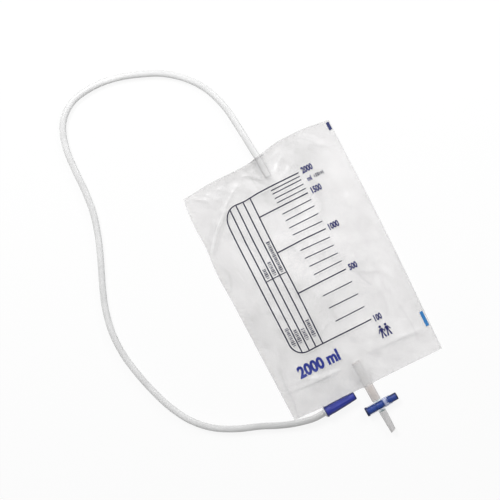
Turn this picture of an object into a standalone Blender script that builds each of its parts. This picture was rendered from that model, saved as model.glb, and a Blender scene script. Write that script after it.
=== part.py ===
"""Two-litre urine drainage bag lying flat, as it comes out of its sleeve.

Two films are welded round their edge. An inlet tube enters through the top weld, between
the two flaps of a non-return valve, and ends in a stepped connector under a push-on cap.
An outlet tube leaves through the bottom weld and carries a push-pull cross valve and a spout.

Metres, +Z up, +Y towards the bag's top edge. The pieces are drawn about the middle of the
panel, and then the whole bag is moved so that the origin lies under the middle of the bag
and its outlet, on the surface that it lies on.
"""

import math

import bmesh
import bpy
from mathutils import Vector

MM = 0.001

# Clearances
RUNNING_GAP = 0.3 * MM
WELD_GAP = 0.2 * MM
DRAPE_GAP = 0.4 * MM

# Panel of welded films
PANEL_WIDTH = 198 * MM
PANEL_HEIGHT = 300 * MM
FILM = 0.25 * MM
WELD_BAND = 8 * MM
PILLOW_RISE = 2.6 * MM
PILLOW_SLOPE = 20 * MM
PILLOW_SWELL = 0.3
PILLOW_SWELL_X = 31 * MM
PILLOW_SWELL_Y = 43 * MM
FOLD_END_SHARE = 0.35
LEFT_BOW = 5 * MM
RIGHT_BOW = 2.2 * MM
LEFT_BOW_SKEW = 0.45
# The left side also bulges, and is drawn in where the long folds start: place, reach, length
LEFT_WAVES = ((42 * MM, 1.2 * MM, 18 * MM), (87 * MM, -1.8 * MM, 14 * MM))
RIGHT_INSET = 1.4 * MM
SHOULDER_RISE = 9.2 * MM
SHOULDER_START = -22 * MM
SHOULDER_END = 38 * MM
TOP_LEFT_DIP = 3 * MM
TOP_RIGHT_DIP = 4 * MM
BOTTOM_DROP = 1.1 * MM
BOTTOM_LEFT_LIFT = 1.4 * MM
CORNER_REACH = 38 * MM

# How a film hangs off the tube that it covers
FILM_FOOT = 13 * MM
WELD_FOOT = 8.4 * MM
FOOT_WIDENING = 18 * MM
FLAP_FOOT = 10 * MM
FOOT_SOFTNESS = 1 * MM
TENT_HOLD = 2 * MM
TENT_FADE = 32 * MM

# Inlet tube, a free cord from inside the bag to its connector
INLET_RADIUS = 4 * MM
INLET_X = 0.9 * MM
INLET_INSIDE = 26 * MM
INLET_POINT_SPACING = 18 * MM
TUBE_LEAN = math.radians(2.7)
TUBE_STRAIGHT_END = 2 * MM

# Flaps of the non-return valve
FLAP_TOP_WIDTH = 42 * MM
FLAP_END_WIDTH = 32 * MM
FLAP_LENGTH = 54 * MM
FLAP_INSET = 2 * MM
FLAP_MARGIN = 6 * MM
FLAP_SIDE_STEP = 0.2

# Outlet tube and spout
OUTLET_X = -0.2 * MM
VALVE_DROP = 28 * MM
OUTLET_INSIDE = 31 * MM
OUTLET_RADIUS = 5.4 * MM
OUTLET_BORE = 2.7 * MM
SPOUT_LENGTH = 27 * MM
SPOUT_RADIUS = 4.5 * MM
SPOUT_TIP_RADIUS = 3.5 * MM
SPOUT_BORE = 2.5 * MM
SPOUT_CUT = math.radians(21)
SPOUT_END_BAND = 1 * MM

# Cross valve: a clear body with a sleeve across the flow, and a sliding plunger
SLEEVE_RADIUS = 5.7 * MM
SLEEVE_WALL = 0.8 * MM
SLEEVE_LEFT = 14.5 * MM
SLEEVE_RIGHT = 15.9 * MM
SLEEVE_RIM = 0.35 * MM
BOSS_RADIUS = 4.9 * MM
BOSS_HEIGHT = 1.6 * MM
STUB_LENGTH = 8 * MM
PORT_RADIUS = 1.6 * MM
PLUNGER_FLANGE = 3.2 * MM
PLUNGER_TRAVEL = 8.2 * MM
PLUNGER_FIT = 0.4 * MM
SEAL_SECTION = 0.5 * MM
SEAL_PROUD = 0.15 * MM
SEAL_LAND = 0.7 * MM
PORT_LAND = 2.8 * MM
WAIST_RADIUS = 2.2 * MM
WAIST_SPARE = 1.7 * MM
WAIST_RAMP = 0.4 * MM
PLUNGER_CHAMFER = 0.6 * MM

# Stepped connector and its cap, on one axis that runs from the cap's mouth to its tip
CONNECTOR_X = -61.3 * MM
CONNECTOR_DROP = 6.7 * MM
CONNECTOR_TURN = math.radians(3.2)
SPIGOT_LENGTH = 9 * MM
SPIGOT_RADIUS = 2.65 * MM
SPIGOT_BARB = 0.35 * MM
SPIGOT_BARB_LENGTH = 2.4 * MM
SPIGOT_TIP = 0.5 * MM
FLANGE_RADIUS = 6.2 * MM
FLANGE_THICK = 1.3 * MM
SEAT_RADIUS = 5.2 * MM
SEAT_LENGTH = 5 * MM
NOSE_STEPS = (
    (14 * MM, 4.5 * MM, 4.2 * MM),
    (23 * MM, 3.8 * MM, 3.5 * MM),
    (31.3 * MM, 3.1 * MM, 2.8 * MM),
)
NOSE_STEP_RAMP = 0.4 * MM
NOSE_TIP_ROUND = 0.6 * MM
NOSE_BORE = 1.8 * MM
CAP_LENGTH = 40.5 * MM
CAP_BEAD_RADIUS = 6.9 * MM
CAP_BEAD_LENGTH = 1.6 * MM
CAP_BEAD_RAMP = 0.4 * MM
CAP_BEAD_CHAMFER = 0.3 * MM
CAP_LIFT = 0.05 * MM
CAP_MOUTH_RADIUS = 6.3 * MM
CAP_END_RADIUS = 4.95 * MM
CAP_TIP_ROUND = 2.4 * MM
CAP_TIP_DRAW = 0.45
CAP_WALL = 0.95 * MM
CAP_SEAT_SPARE = 1.5 * MM
CAP_SEAT_RAMP = 0.5 * MM
CAP_NOSE_SPARE = 0.2 * MM
CAP_FLOOR = 5.4 * MM
CAP_RIBS = 12
CAP_RIB_HEIGHT = 0.3 * MM
CAP_RIB_START = 7 * MM
CAP_RIB_END = 33 * MM
CAP_RIB_RAMP = 1.5 * MM

# Route of the inlet tube's axis from inside the bag to the connector's spigot, in panel millimetres
INLET_ROUTE = (
    (2.1, 126.0, 5.0), (1.5, 139.0, 5.0), (0.9, 152.0, 5.0), (-0.6, 166.0, 4.7), (-3.2, 194.3, 4.0),
    (-7.1, 223.2, 4.0), (-16.7, 251.0, 4.0), (-33.2, 273.9, 4.0), (-55.4, 292.0, 4.0),
    (-81.7, 304.1, 4.0), (-109.1, 312.5, 4.0), (-137.7, 315.3, 4.0), (-167.2, 310.2, 4.0),
    (-188.7, 292.8, 4.0), (-198.9, 265.6, 4.0), (-201.3, 236.4, 4.0), (-201.8, 207.3, 4.0),
    (-204.8, 178.7, 4.0), (-212.2, 151.0, 4.0), (-222.1, 124.2, 4.0), (-233.1, 97.5, 4.0),
    (-242.5, 70.7, 4.0), (-247.9, 42.3, 4.0), (-247.7, 13.3, 4.0), (-242.9, -14.4, 4.0),
    (-235.4, -42.0, 4.0), (-225.4, -68.8, 4.0), (-211.1, -93.6, 4.0), (-191.1, -113.6, 4.0),
    (-166.3, -127.5, 4.0), (-138.9, -137.6, 4.0), (-121.0, -145.6, 4.0), (-106.2, -151.1, 4.4),
    (-94.9, -154.1, 5.4), (-84.2, -156.3, 6.5), (-78.1, -157.15, 6.9), (-72.2, -157.3, 6.95),
)

# Folds of the front film: start, end, height and half width, in panel millimetres
FRONT_FOLDS = (
    ((-96, 72), (-60, 108), 1.5, 7),
    ((-88, 118), (-52, 138), 1.1, 9),
    ((-34, 132), (-9, 118), 1.2, 8),
    ((38, 132), (13, 114), 1.0, 8),
    ((58, 140), (86, 122), 0.9, 9),
    ((4, 106), (6, 60), 0.8, 10),
    ((-78, -112), (-20, -118), 1.4, 8),
    ((20, -122), (78, -114), 1.2, 8),
    ((-76, -88), (-62, -34), 1.0, 10),
    ((78, -24), (70, -88), 1.2, 9),
    ((-14, -62), (18, -48), 0.9, 9),
    ((-84, 0), (-70, 44), 0.7, 10),
    ((-44, 98), (-34, 60), 1.1, 10),
    ((-30, 84), (-6, 38), 1.3, 11),
    ((14, 62), (44, 20), 1.2, 12),
    ((46, 98), (84, 70), 1.3, 12),
    ((60, 50), (88, 4), 1.3, 11),
    ((-48, 30), (-30, -18), 1.1, 11),
    ((-22, 6), (28, -22), 1.3, 12),
    ((-46, -54), (-30, -94), 1.1, 10),
    ((24, -84), (66, -100), 1.3, 11),
    ((-90, -50), (-92, -102), 1.0, 9),
)

# Values that follow from the ones above
HALF_WIDTH = PANEL_WIDTH / 2
PANEL_TOP = PANEL_HEIGHT / 2
PANEL_BOTTOM = -PANEL_HEIGHT / 2
VALVE_Y = PANEL_BOTTOM - VALVE_DROP
FLOW_HEIGHT = FILM + RUNNING_GAP + OUTLET_RADIUS
SLEEVE_BORE = SLEEVE_RADIUS - SLEEVE_WALL
PLUNGER_RADIUS = SLEEVE_BORE - PLUNGER_FIT
TUBE_SEAT = SLEEVE_RADIUS + BOSS_HEIGHT + RUNNING_GAP
FILM_STEP = FILM + WELD_GAP
INLET_HEIGHT = 2 * FILM_STEP - WELD_GAP + RUNNING_GAP + INLET_RADIUS
CONNECTOR_Y = PANEL_BOTTOM - CONNECTOR_DROP
CONNECTOR_HEIGHT = CAP_BEAD_RADIUS + CAP_LIFT

# How finely round forms and routes are divided
FINE = 48
ROUND = 40
RING_SIDES = 6
ROUTE_STEPS = 12
MERGE_DISTANCE = 0.0005 * MM


def clear_scene():
    for obj in list(bpy.data.objects):
        bpy.data.objects.remove(obj)


def smooth(share):
    """0 to 1 with flat ends."""
    share = min(max(share, 0.0), 1.0)
    return share * share * (3 - 2 * share)


def finish(name, colour, roughness, alpha=1.0):
    """A plastic: colour, gloss, and how far light passes through it."""
    material = bpy.data.materials.new(name)
    material.use_nodes = True
    shader = material.node_tree.nodes["Principled BSDF"]
    shader.inputs["Base Color"].default_value = (*colour, 1)
    shader.inputs["Roughness"].default_value = roughness
    shader.inputs["Metallic"].default_value = 0.0
    shader.inputs["Alpha"].default_value = alpha
    material.diffuse_color = (*colour, alpha)
    return material


def add_object(name, bm, material, sharp_degrees=35):
    """Closes the mesh into an object with smooth round faces and crisp edges."""
    bmesh.ops.recalc_face_normals(bm, faces=bm.faces)
    mesh = bpy.data.meshes.new(name)
    bm.to_mesh(mesh)
    bm.free()
    mesh.shade_smooth()
    mesh.set_sharp_from_angle(angle=math.radians(sharp_degrees))
    if material:
        mesh.materials.append(material)
    obj = bpy.data.objects.new(name, mesh)
    bpy.context.scene.collection.objects.link(obj)
    return obj


def add_empty(name, location, turn, parent):
    """An axis that pieces are placed on: its X runs along them."""
    empty = bpy.data.objects.new(name, None)
    bpy.context.scene.collection.objects.link(empty)
    empty.location = location
    empty.rotation_euler = (0, 0, turn)
    empty.parent = parent
    return empty


def turned(name, profile, material, segments=ROUND, hollow=False):
    """Spins (along, radius) points about X. A hollow profile is a closed loop clear of the axis."""
    bm = bmesh.new()
    points = [bm.verts.new((along, 0, radius)) for along, radius in profile]
    lines = [bm.edges.new(pair) for pair in zip(points, points[1:])]
    if hollow:
        lines.append(bm.edges.new((points[-1], points[0])))
    bmesh.ops.spin(
        bm,
        geom=points + lines,
        cent=(0, 0, 0),
        axis=(1, 0, 0),
        angle=math.tau,
        steps=segments,
        use_merge=True,
    )
    bmesh.ops.remove_doubles(bm, verts=bm.verts, dist=MERGE_DISTANCE)
    return add_object(name, bm, material)


def boolean(obj, operation, other):
    """Joins or cuts with a helper that stays out of renders."""
    modifier = obj.modifiers.new(other.name, "BOOLEAN")
    modifier.operation = operation
    modifier.object = other
    modifier.solver = "EXACT"
    other.hide_render = True
    other.display_type = "WIRE"


def left_edge(y):
    """x of the panel's left side, which bows out most above its middle."""
    down = min(max((PANEL_TOP - y) / PANEL_HEIGHT, 0.0), 1.0)
    bow = LEFT_BOW * math.sin(math.pi * down**LEFT_BOW_SKEW)
    for place, reach, length in LEFT_WAVES:
        bow += reach * math.exp(-(((y - place) / length) ** 2))
    return -PANEL_WIDTH / 2 - bow


def right_edge(y):
    down = min(max((PANEL_TOP - y) / PANEL_HEIGHT, 0.0), 1.0)
    return PANEL_WIDTH / 2 - RIGHT_INSET + RIGHT_BOW * math.sin(math.pi * down)


def corner_share(x, side):
    """0 away from the corner on this side, rising to 1 at it."""
    return smooth((side * x - PANEL_WIDTH / 2 + CORNER_REACH) / CORNER_REACH)


def top_edge(x):
    """y of the top edge: its right half lies higher, as the film has drawn up on the left."""
    shoulder = smooth((x - SHOULDER_START) / (SHOULDER_END - SHOULDER_START))
    dips = TOP_LEFT_DIP * corner_share(x, -1) + TOP_RIGHT_DIP * corner_share(x, 1)
    return PANEL_TOP + SHOULDER_RISE * shoulder - dips


def bottom_edge(x):
    return PANEL_BOTTOM - BOTTOM_DROP + BOTTOM_LEFT_LIFT * corner_share(x, -1)


def outlet_line(y):
    """x of the outlet's axis."""
    return OUTLET_X - (y - VALVE_Y) * math.tan(TUBE_LEAN)


def inlet_line(y):
    """x of the inlet tube's axis where it lies in the bag."""
    return INLET_X - (y - top_edge(INLET_X)) * math.tan(TUBE_LEAN)


def centre_line(y):
    """x of the line that runs along both tubes and joins them across the panel."""
    low = PANEL_BOTTOM + OUTLET_INSIDE
    high = top_edge(INLET_X) - INLET_INSIDE
    if y <= low:
        return outlet_line(y)
    if y >= high:
        return inlet_line(y)
    share = smooth((y - low) / (high - low))
    return outlet_line(low) * (1 - share) + inlet_line(high) * share


def panel_point(offset, share):
    """A point of the panel: offset from the centre line, and share of the way up.

    Near the centre line offsets are true distances, and further out they stretch to the edge.
    """
    flat_y = PANEL_BOTTOM + share * PANEL_HEIGHT
    middle = centre_line(flat_y)
    edge = right_edge(flat_y) - middle if offset > 0 else middle - left_edge(flat_y)
    beyond = abs(offset) - CENTRE_OFFSETS[-1]
    reach = abs(offset)
    if beyond > 0:
        stretch = (edge - CENTRE_OFFSETS[-1]) / (HALF_WIDTH - CENTRE_OFFSETS[-1])
        reach = CENTRE_OFFSETS[-1] + beyond * stretch
    x = middle + math.copysign(reach, offset)
    return x, bottom_edge(x) + share * (top_edge(x) - bottom_edge(x))


def inside_share(x, y):
    """0 on the weld band, rising to 1 across the pillow's slope."""
    share = 1.0
    for depth in (x - left_edge(y), right_edge(y) - x, y - bottom_edge(x), top_edge(x) - y):
        share *= smooth((depth - WELD_BAND) / PILLOW_SLOPE)
    return share


def fold_height(x, y):
    """Sum of the film's folds, each a soft ridge that fades towards both of its ends."""
    total = 0.0
    point = Vector((x, y))
    for start, end, height, half_width in FRONT_FOLDS:
        start = Vector(start) * MM
        run = Vector(end) * MM - start
        along = min(max((point - start).dot(run) / run.length_squared, 0.0), 1.0)
        away = (point - start - run * along).length / (half_width * MM)
        fade = FOLD_END_SHARE + (1 - FOLD_END_SHARE) * math.sin(math.pi * along)
        total += height * MM * math.exp(-away * away) * fade
    return total


def drape(offset, radius, centre, base, foot):
    """Height over base of film drawn over a tube: round on top, then straight down to its foot."""
    rise = centre - base
    slant = math.atan2(rise, foot) + math.asin(radius / math.hypot(foot, rise))
    offset = abs(offset)
    if offset < radius * math.sin(slant):
        return rise + math.sqrt(radius * radius - offset * offset)
    line = (foot - offset) * math.tan(slant)
    return (line + math.hypot(line, FOOT_SOFTNESS)) / 2


def tent(x, y, line, radius, centre, base, foot, past_end):
    """Height over base of the film over a tube, fading beyond the tube's inner end."""
    past = max(past_end - TENT_HOLD, 0.0) / TENT_FADE
    return drape((x - line) / (1 + past), radius, centre, base, foot) * (1 - smooth(past))


def flap_width(depth):
    """Width of a flap at this depth below the top edge."""
    share = depth / FLAP_LENGTH
    return FLAP_TOP_WIDTH * (1 - share) + FLAP_END_WIDTH * share


def flap_zone(x, y):
    """1 over the flaps and 0 clear of them."""
    depth = top_edge(x) - FLAP_INSET - y
    beside = abs(x - inlet_line(y)) - flap_width(min(max(depth, 0.0), FLAP_LENGTH)) / 2
    below = depth - FLAP_LENGTH
    return (1 - smooth(beside / FLAP_MARGIN - 0.5)) * (1 - smooth(below / FLAP_MARGIN - 0.5))


def inlet_tent(x, y, radius, base, foot):
    past = top_edge(INLET_X) - INLET_INSIDE - y
    return tent(x, y, inlet_line(y), radius, INLET_HEIGHT, base, foot, past)


def front_flap_under(x, y):
    base = 2 * FILM_STEP
    return base + inlet_tent(x, y, INLET_RADIUS + DRAPE_GAP, base, FLAP_FOOT)


def front_under(x, y):
    """Underside of the front film: weld band, pillow, folds, and tents over the two tubes."""
    base = FILM_STEP + 2 * FILM_STEP * flap_zone(x, y)
    swell = math.sin(x / PILLOW_SWELL_X) * math.cos(y / PILLOW_SWELL_Y)
    rise = PILLOW_RISE * (1 - PILLOW_SWELL + PILLOW_SWELL * swell)
    pillow = inside_share(x, y) * (rise + fold_height(x, y))
    inlet = inlet_tent(x, y, INLET_RADIUS + 2 * DRAPE_GAP + FILM, base, FILM_FOOT)
    past_outlet = y - PANEL_BOTTOM - OUTLET_INSIDE
    over_outlet = OUTLET_RADIUS + DRAPE_GAP
    widened = smooth((y - bottom_edge(x)) / FOOT_WIDENING)
    foot = WELD_FOOT + (FILM_FOOT - WELD_FOOT) * widened
    outlet = tent(x, y, outlet_line(y), over_outlet, FLOW_HEIGHT, base, foot, past_outlet)
    return base + max(pillow, inlet, outlet)


def both_sides(offsets):
    return [-offset for offset in reversed(offsets) if offset > 0] + list(offsets)


def steps(start, end, spacing):
    """Evenly spaced values from start to end, both included."""
    count = max(1, round((end - start) / spacing))
    return [start + (end - start) * index / count for index in range(count + 1)]


# Lines of the panel's grid: close together over the tubes and the weld, and wider between them
CENTRE_OFFSETS = [0, 1.8 * MM, 3.6 * MM, 5.4 * MM, 8.4 * MM, 11.4 * MM, 14.5 * MM]
PANEL_SPACING = 10 * MM
TUBE_SPACING = 7 * MM
WELD_OFFSETS = [HALF_WIDTH - WELD_BAND, HALF_WIDTH - WELD_BAND / 2, HALF_WIDTH]
SIDE_OFFSETS = steps(CENTRE_OFFSETS[-1], WELD_OFFSETS[0], PANEL_SPACING)
PANEL_COLUMNS = both_sides(CENTRE_OFFSETS + SIDE_OFFSETS[1:] + WELD_OFFSETS[1:])


def edge_depths(tube_inside):
    """Depths from an edge of the panel, past the weld and the end of the tube that comes in there."""
    tube_end = tube_inside + TENT_HOLD
    return [0, WELD_BAND / 2] + steps(WELD_BAND, tube_end, TUBE_SPACING) + [tube_end + TUBE_SPACING]


LOW_DEPTHS = edge_depths(OUTLET_INSIDE)
HIGH_DEPTHS = edge_depths(INLET_INSIDE)
MIDDLE_DEPTHS = steps(LOW_DEPTHS[-1], PANEL_HEIGHT - HIGH_DEPTHS[-1], PANEL_SPACING)
TOP_DEPTHS = [PANEL_HEIGHT - depth for depth in reversed(HIGH_DEPTHS)]
PANEL_DEPTHS = LOW_DEPTHS + MIDDLE_DEPTHS[1:-1] + TOP_DEPTHS
PANEL_ROWS = [depth / PANEL_HEIGHT for depth in PANEL_DEPTHS]


def film_solid(name, grid, under, material):
    """A film from rows of (x, y): under gives its underside, and its top lies one film above."""
    bm = bmesh.new()
    lower = [[bm.verts.new((x, y, under(x, y))) for x, y in row] for row in grid]
    upper = [[bm.verts.new(vert.co + Vector((0, 0, FILM))) for vert in row] for row in lower]
    rows, columns = len(grid), len(grid[0])
    for i in range(rows - 1):
        for j in range(columns - 1):
            for layer in (lower, upper):
                bm.faces.new((layer[i][j], layer[i][j + 1], layer[i + 1][j + 1], layer[i + 1][j]))
    rim = [(0, j) for j in range(columns)]
    rim += [(i, columns - 1) for i in range(1, rows)]
    rim += [(rows - 1, j) for j in range(columns - 2, -1, -1)]
    rim += [(i, 0) for i in range(rows - 2, 0, -1)]
    for (i, j), (k, m) in zip(rim, rim[1:] + rim[:1]):
        bm.faces.new((lower[i][j], lower[k][m], upper[k][m], upper[i][j]))
    return add_object(name, bm, material, sharp_degrees=50)


def plate_solid(name, outline, base, material):
    """A flat film from its outline, one film thick."""
    bm = bmesh.new()
    face = bm.faces.new([bm.verts.new((x, y, base)) for x, y in outline])
    grown = bmesh.ops.extrude_face_region(bm, geom=[face])
    raised = [item for item in grown["geom"] if isinstance(item, bmesh.types.BMVert)]
    bmesh.ops.translate(bm, verts=raised, vec=(0, 0, FILM))
    return add_object(name, bm, material)


def make_films(parent, materials):
    grid = [[panel_point(offset, share) for offset in PANEL_COLUMNS] for share in PANEL_ROWS]
    outline = grid[0] + [row[-1] for row in grid[1:]]
    outline += grid[-1][-2::-1] + [row[0] for row in grid[-2:0:-1]]
    back = plate_solid("back_film", outline, 0.0, materials["film"])
    front = film_solid("front_film", grid, front_under, materials["film"])
    for film in (back, front):
        film.parent = parent


def flap_point(share_across, depth):
    """A point of a flap: share across it from -1 to 1, and depth below its own top end."""
    x = inlet_line(top_edge(INLET_X) - FLAP_INSET - depth) + share_across * flap_width(depth) / 2
    return x, top_edge(x) - FLAP_INSET - depth


def make_check_valve(parent, materials):
    """Two flaps round the tube's end: flow pushes them apart, and they close against a backflow."""
    half = FLAP_TOP_WIDTH / 2
    tube_shares = [offset / half for offset in CENTRE_OFFSETS if offset <= FLAP_FOOT]
    shares = both_sides(tube_shares + steps(tube_shares[-1], 1.0, FLAP_SIDE_STEP)[1:])
    depths = steps(0.0, FLAP_LENGTH, TUBE_SPACING)
    grid = [[flap_point(share, depth) for share in shares] for depth in depths]
    outline = [grid[0][0], grid[0][-1], grid[-1][-1], grid[-1][0]]
    back = plate_solid("check_valve_back", outline, FILM_STEP, materials["flap"])
    front = film_solid("check_valve_front", grid, front_flap_under, materials["flap"])
    for flap in (back, front):
        flap.parent = parent


def smooth_route(route, spacing, tail):
    """Points at even spacing along a smooth curve through the route's points, and one straight tail."""
    knots = [Vector(point) * MM for point in route]
    knots = [knots[0] * 2 - knots[1]] + knots + [knots[-1] * 2 - knots[-2]]
    fine = []
    for a, b, c, d in zip(knots, knots[1:], knots[2:], knots[3:]):
        bend = 2 * a - 5 * b + 4 * c - d
        twist = 3 * b - a - 3 * c + d
        for index in range(ROUTE_STEPS):
            t = index / ROUTE_STEPS
            fine.append(0.5 * (2 * b + (c - a) * t + bend * t**2 + twist * t**3))
    fine.append(knots[-2])
    lengths = [0.0]
    for a, b in zip(fine, fine[1:]):
        lengths.append(lengths[-1] + (b - a).length)
    points = []
    segment = 0
    for target in steps(0.0, lengths[-1] - tail, spacing) + [lengths[-1]]:
        while segment < len(fine) - 2 and lengths[segment + 1] < target:
            segment += 1
        share = (target - lengths[segment]) / (lengths[segment + 1] - lengths[segment])
        points.append(fine[segment].lerp(fine[segment + 1], min(max(share, 0.0), 1.0)))
    return points


def make_inlet_tube(parent, materials):
    points = smooth_route(INLET_ROUTE, INLET_POINT_SPACING, TUBE_STRAIGHT_END)
    curve = bpy.data.curves.new("inlet_tube", "CURVE")
    curve.dimensions = "3D"
    curve.bevel_depth = INLET_RADIUS
    curve.bevel_resolution = 3
    curve.use_fill_caps = True
    line = curve.splines.new("POLY")
    line.points.add(len(points) - 1)
    for place, point in zip(line.points, points):
        place.co = (*point, 1)
    line.use_smooth = True
    curve.materials.append(materials["tube"])
    tube = bpy.data.objects.new("inlet_tube", curve)
    bpy.context.scene.collection.objects.link(tube)
    tube.parent = parent


def make_connector(parent, materials):
    """A barbed spigot that the tube's end is pushed over, a flange, the cap's seat and a stepped nose."""
    flange_back = -RUNNING_GAP - FLANGE_THICK
    back = flange_back - SPIGOT_LENGTH
    barb = SPIGOT_RADIUS + SPIGOT_BARB
    profile = [(back, NOSE_BORE), (back, SPIGOT_RADIUS - SPIGOT_TIP), (back + SPIGOT_BARB_LENGTH, barb)]
    profile += [(back + SPIGOT_BARB_LENGTH + SPIGOT_BARB, SPIGOT_RADIUS), (flange_back, SPIGOT_RADIUS)]
    profile += [(flange_back, FLANGE_RADIUS), (-RUNNING_GAP, FLANGE_RADIUS)]
    profile += [(-RUNNING_GAP, SEAT_RADIUS), (SEAT_LENGTH, SEAT_RADIUS)]
    start = SEAT_LENGTH
    for end, near, far in NOSE_STEPS:
        profile += [(start + NOSE_STEP_RAMP, near), (end, far)]
        start = end
    tip = start + NOSE_TIP_ROUND
    profile += [(tip, NOSE_STEPS[-1][2] - NOSE_TIP_ROUND), (tip, NOSE_BORE)]
    connector = turned("inlet_connector", profile, materials["connector"], hollow=True)
    connector.parent = parent


def make_cap(parent, materials):
    """A tapered push-on cap: mouth bead, twelve low grip ribs, and a rounded closed tip."""
    tip_start = CAP_LENGTH - CAP_TIP_ROUND
    body_start = CAP_BEAD_LENGTH + CAP_BEAD_RAMP
    seat = SEAT_RADIUS + RUNNING_GAP
    over_nose = NOSE_STEPS[0][1] + RUNNING_GAP + CAP_NOSE_SPARE

    def body_radius(along):
        share = (along - body_start) / (tip_start - body_start)
        return CAP_MOUTH_RADIUS + (CAP_END_RADIUS - CAP_MOUTH_RADIUS) * share

    floor = CAP_LENGTH - CAP_FLOOR
    step = SEAT_LENGTH + CAP_SEAT_SPARE
    profile = [(floor, 0), (floor, body_radius(floor) - CAP_WALL)]
    profile += [(step, over_nose), (step - CAP_SEAT_RAMP, seat), (0, seat)]
    profile += [(0, CAP_BEAD_RADIUS - CAP_BEAD_CHAMFER), (CAP_BEAD_CHAMFER, CAP_BEAD_RADIUS)]
    profile += [(CAP_BEAD_LENGTH, CAP_BEAD_RADIUS), (body_start, CAP_MOUTH_RADIUS)]
    rib_marks = (CAP_RIB_START, CAP_RIB_START + CAP_RIB_RAMP, CAP_RIB_END - CAP_RIB_RAMP, CAP_RIB_END)
    for along in rib_marks:
        profile.append((along, body_radius(along)))
    profile.append((tip_start, CAP_END_RADIUS))
    for degrees in (30, 60):
        turn = math.radians(degrees)
        rounded = CAP_END_RADIUS - CAP_TIP_DRAW * CAP_TIP_ROUND * (1 - math.cos(turn))
        profile.append((tip_start + CAP_TIP_ROUND * math.sin(turn), rounded))
    profile += [(CAP_LENGTH, CAP_END_RADIUS - CAP_TIP_DRAW * CAP_TIP_ROUND), (CAP_LENGTH, 0)]
    cap = turned("connector_cap", profile, materials["cap"], segments=FINE)
    for vert in cap.data.vertices:
        radius = math.hypot(vert.co.y, vert.co.z)
        outside = radius > body_radius(vert.co.x) - CAP_WALL / 2
        on_ribs = CAP_RIB_START + CAP_RIB_RAMP / 2 < vert.co.x < CAP_RIB_END - CAP_RIB_RAMP / 2
        turn = math.atan2(vert.co.z, vert.co.y) / math.tau * CAP_RIBS
        if outside and on_ribs and abs(turn - round(turn)) * FINE / CAP_RIBS < 0.5:
            vert.co.yz = vert.co.yz * (radius + CAP_RIB_HEIGHT) / radius
    cap.parent = parent


def make_outlet(parent, materials):
    """The welded-in tube above the valve and the tapered, slant-cut spout below it."""
    inner_end = VALVE_DROP + OUTLET_INSIDE
    tube_profile = [(TUBE_SEAT, OUTLET_BORE), (TUBE_SEAT, OUTLET_RADIUS)]
    tube_profile += [(inner_end, OUTLET_RADIUS), (inner_end, OUTLET_BORE)]
    tube = turned("outlet_tube", tube_profile, materials["outlet"], hollow=True)
    tube.rotation_euler = (0, 0, math.pi / 2)
    spout_end = TUBE_SEAT + SPOUT_LENGTH
    spout_profile = [(TUBE_SEAT, SPOUT_BORE), (TUBE_SEAT, SPOUT_RADIUS)]
    spout_profile += [(spout_end, SPOUT_TIP_RADIUS), (spout_end, SPOUT_BORE)]
    spout = turned("outlet_spout", spout_profile, materials["spout"], hollow=True)
    for vert in spout.data.vertices:
        if vert.co.x > spout_end - SPOUT_END_BAND:
            vert.co.x -= vert.co.y * math.tan(SPOUT_CUT)
    spout.rotation_euler = (0, 0, -math.pi / 2)
    for piece in (tube, spout):
        piece.parent = parent


def cutting_rod(name, start, end, radius):
    """A round cutter along X that runs a wall's thickness past both ends."""
    start -= SLEEVE_WALL
    end += SLEEVE_WALL
    return turned(name, [(start, 0), (start, radius), (end, radius), (end, 0)], None)


def make_valve_body(parent, materials):
    """A clear sleeve across the flow, with bosses, stubs in the tubes, and a port through all of them."""
    rim = SLEEVE_RADIUS - SLEEVE_RIM
    sleeve_profile = [(-SLEEVE_LEFT, 0), (-SLEEVE_LEFT, rim), (-SLEEVE_LEFT + SLEEVE_RIM, SLEEVE_RADIUS)]
    sleeve_profile += [(SLEEVE_RIGHT - SLEEVE_RIM, SLEEVE_RADIUS)]
    sleeve_profile += [(SLEEVE_RIGHT, rim), (SLEEVE_RIGHT, 0)]
    body = turned("valve_body", sleeve_profile, materials["valve"])
    seat = SLEEVE_RADIUS + BOSS_HEIGHT
    stub_end = seat + RUNNING_GAP + STUB_LENGTH
    upper, lower = OUTLET_BORE - RUNNING_GAP, SPOUT_BORE - RUNNING_GAP
    cross_profile = [(-stub_end, 0), (-stub_end, lower), (-seat, lower), (-seat, SPOUT_RADIUS)]
    cross_profile += [(0, SPOUT_RADIUS), (0, BOSS_RADIUS), (seat, BOSS_RADIUS), (seat, upper)]
    cross_profile += [(stub_end, upper), (stub_end, 0)]
    cross = turned("valve_cross", cross_profile, None)
    bore = cutting_rod("valve_bore", -SLEEVE_LEFT, SLEEVE_RIGHT, SLEEVE_BORE)
    port = cutting_rod("valve_port", -stub_end, stub_end, PORT_RADIUS)
    for helper in (cross, port):
        helper.rotation_euler = (math.pi / ROUND, 0, math.pi / 2)
    bore.rotation_euler = (math.pi / ROUND, 0, 0)
    for helper, operation in ((cross, "UNION"), (bore, "DIFFERENCE"), (port, "DIFFERENCE")):
        helper.parent = parent
        boolean(body, operation, helper)
    body.parent = parent


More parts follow.
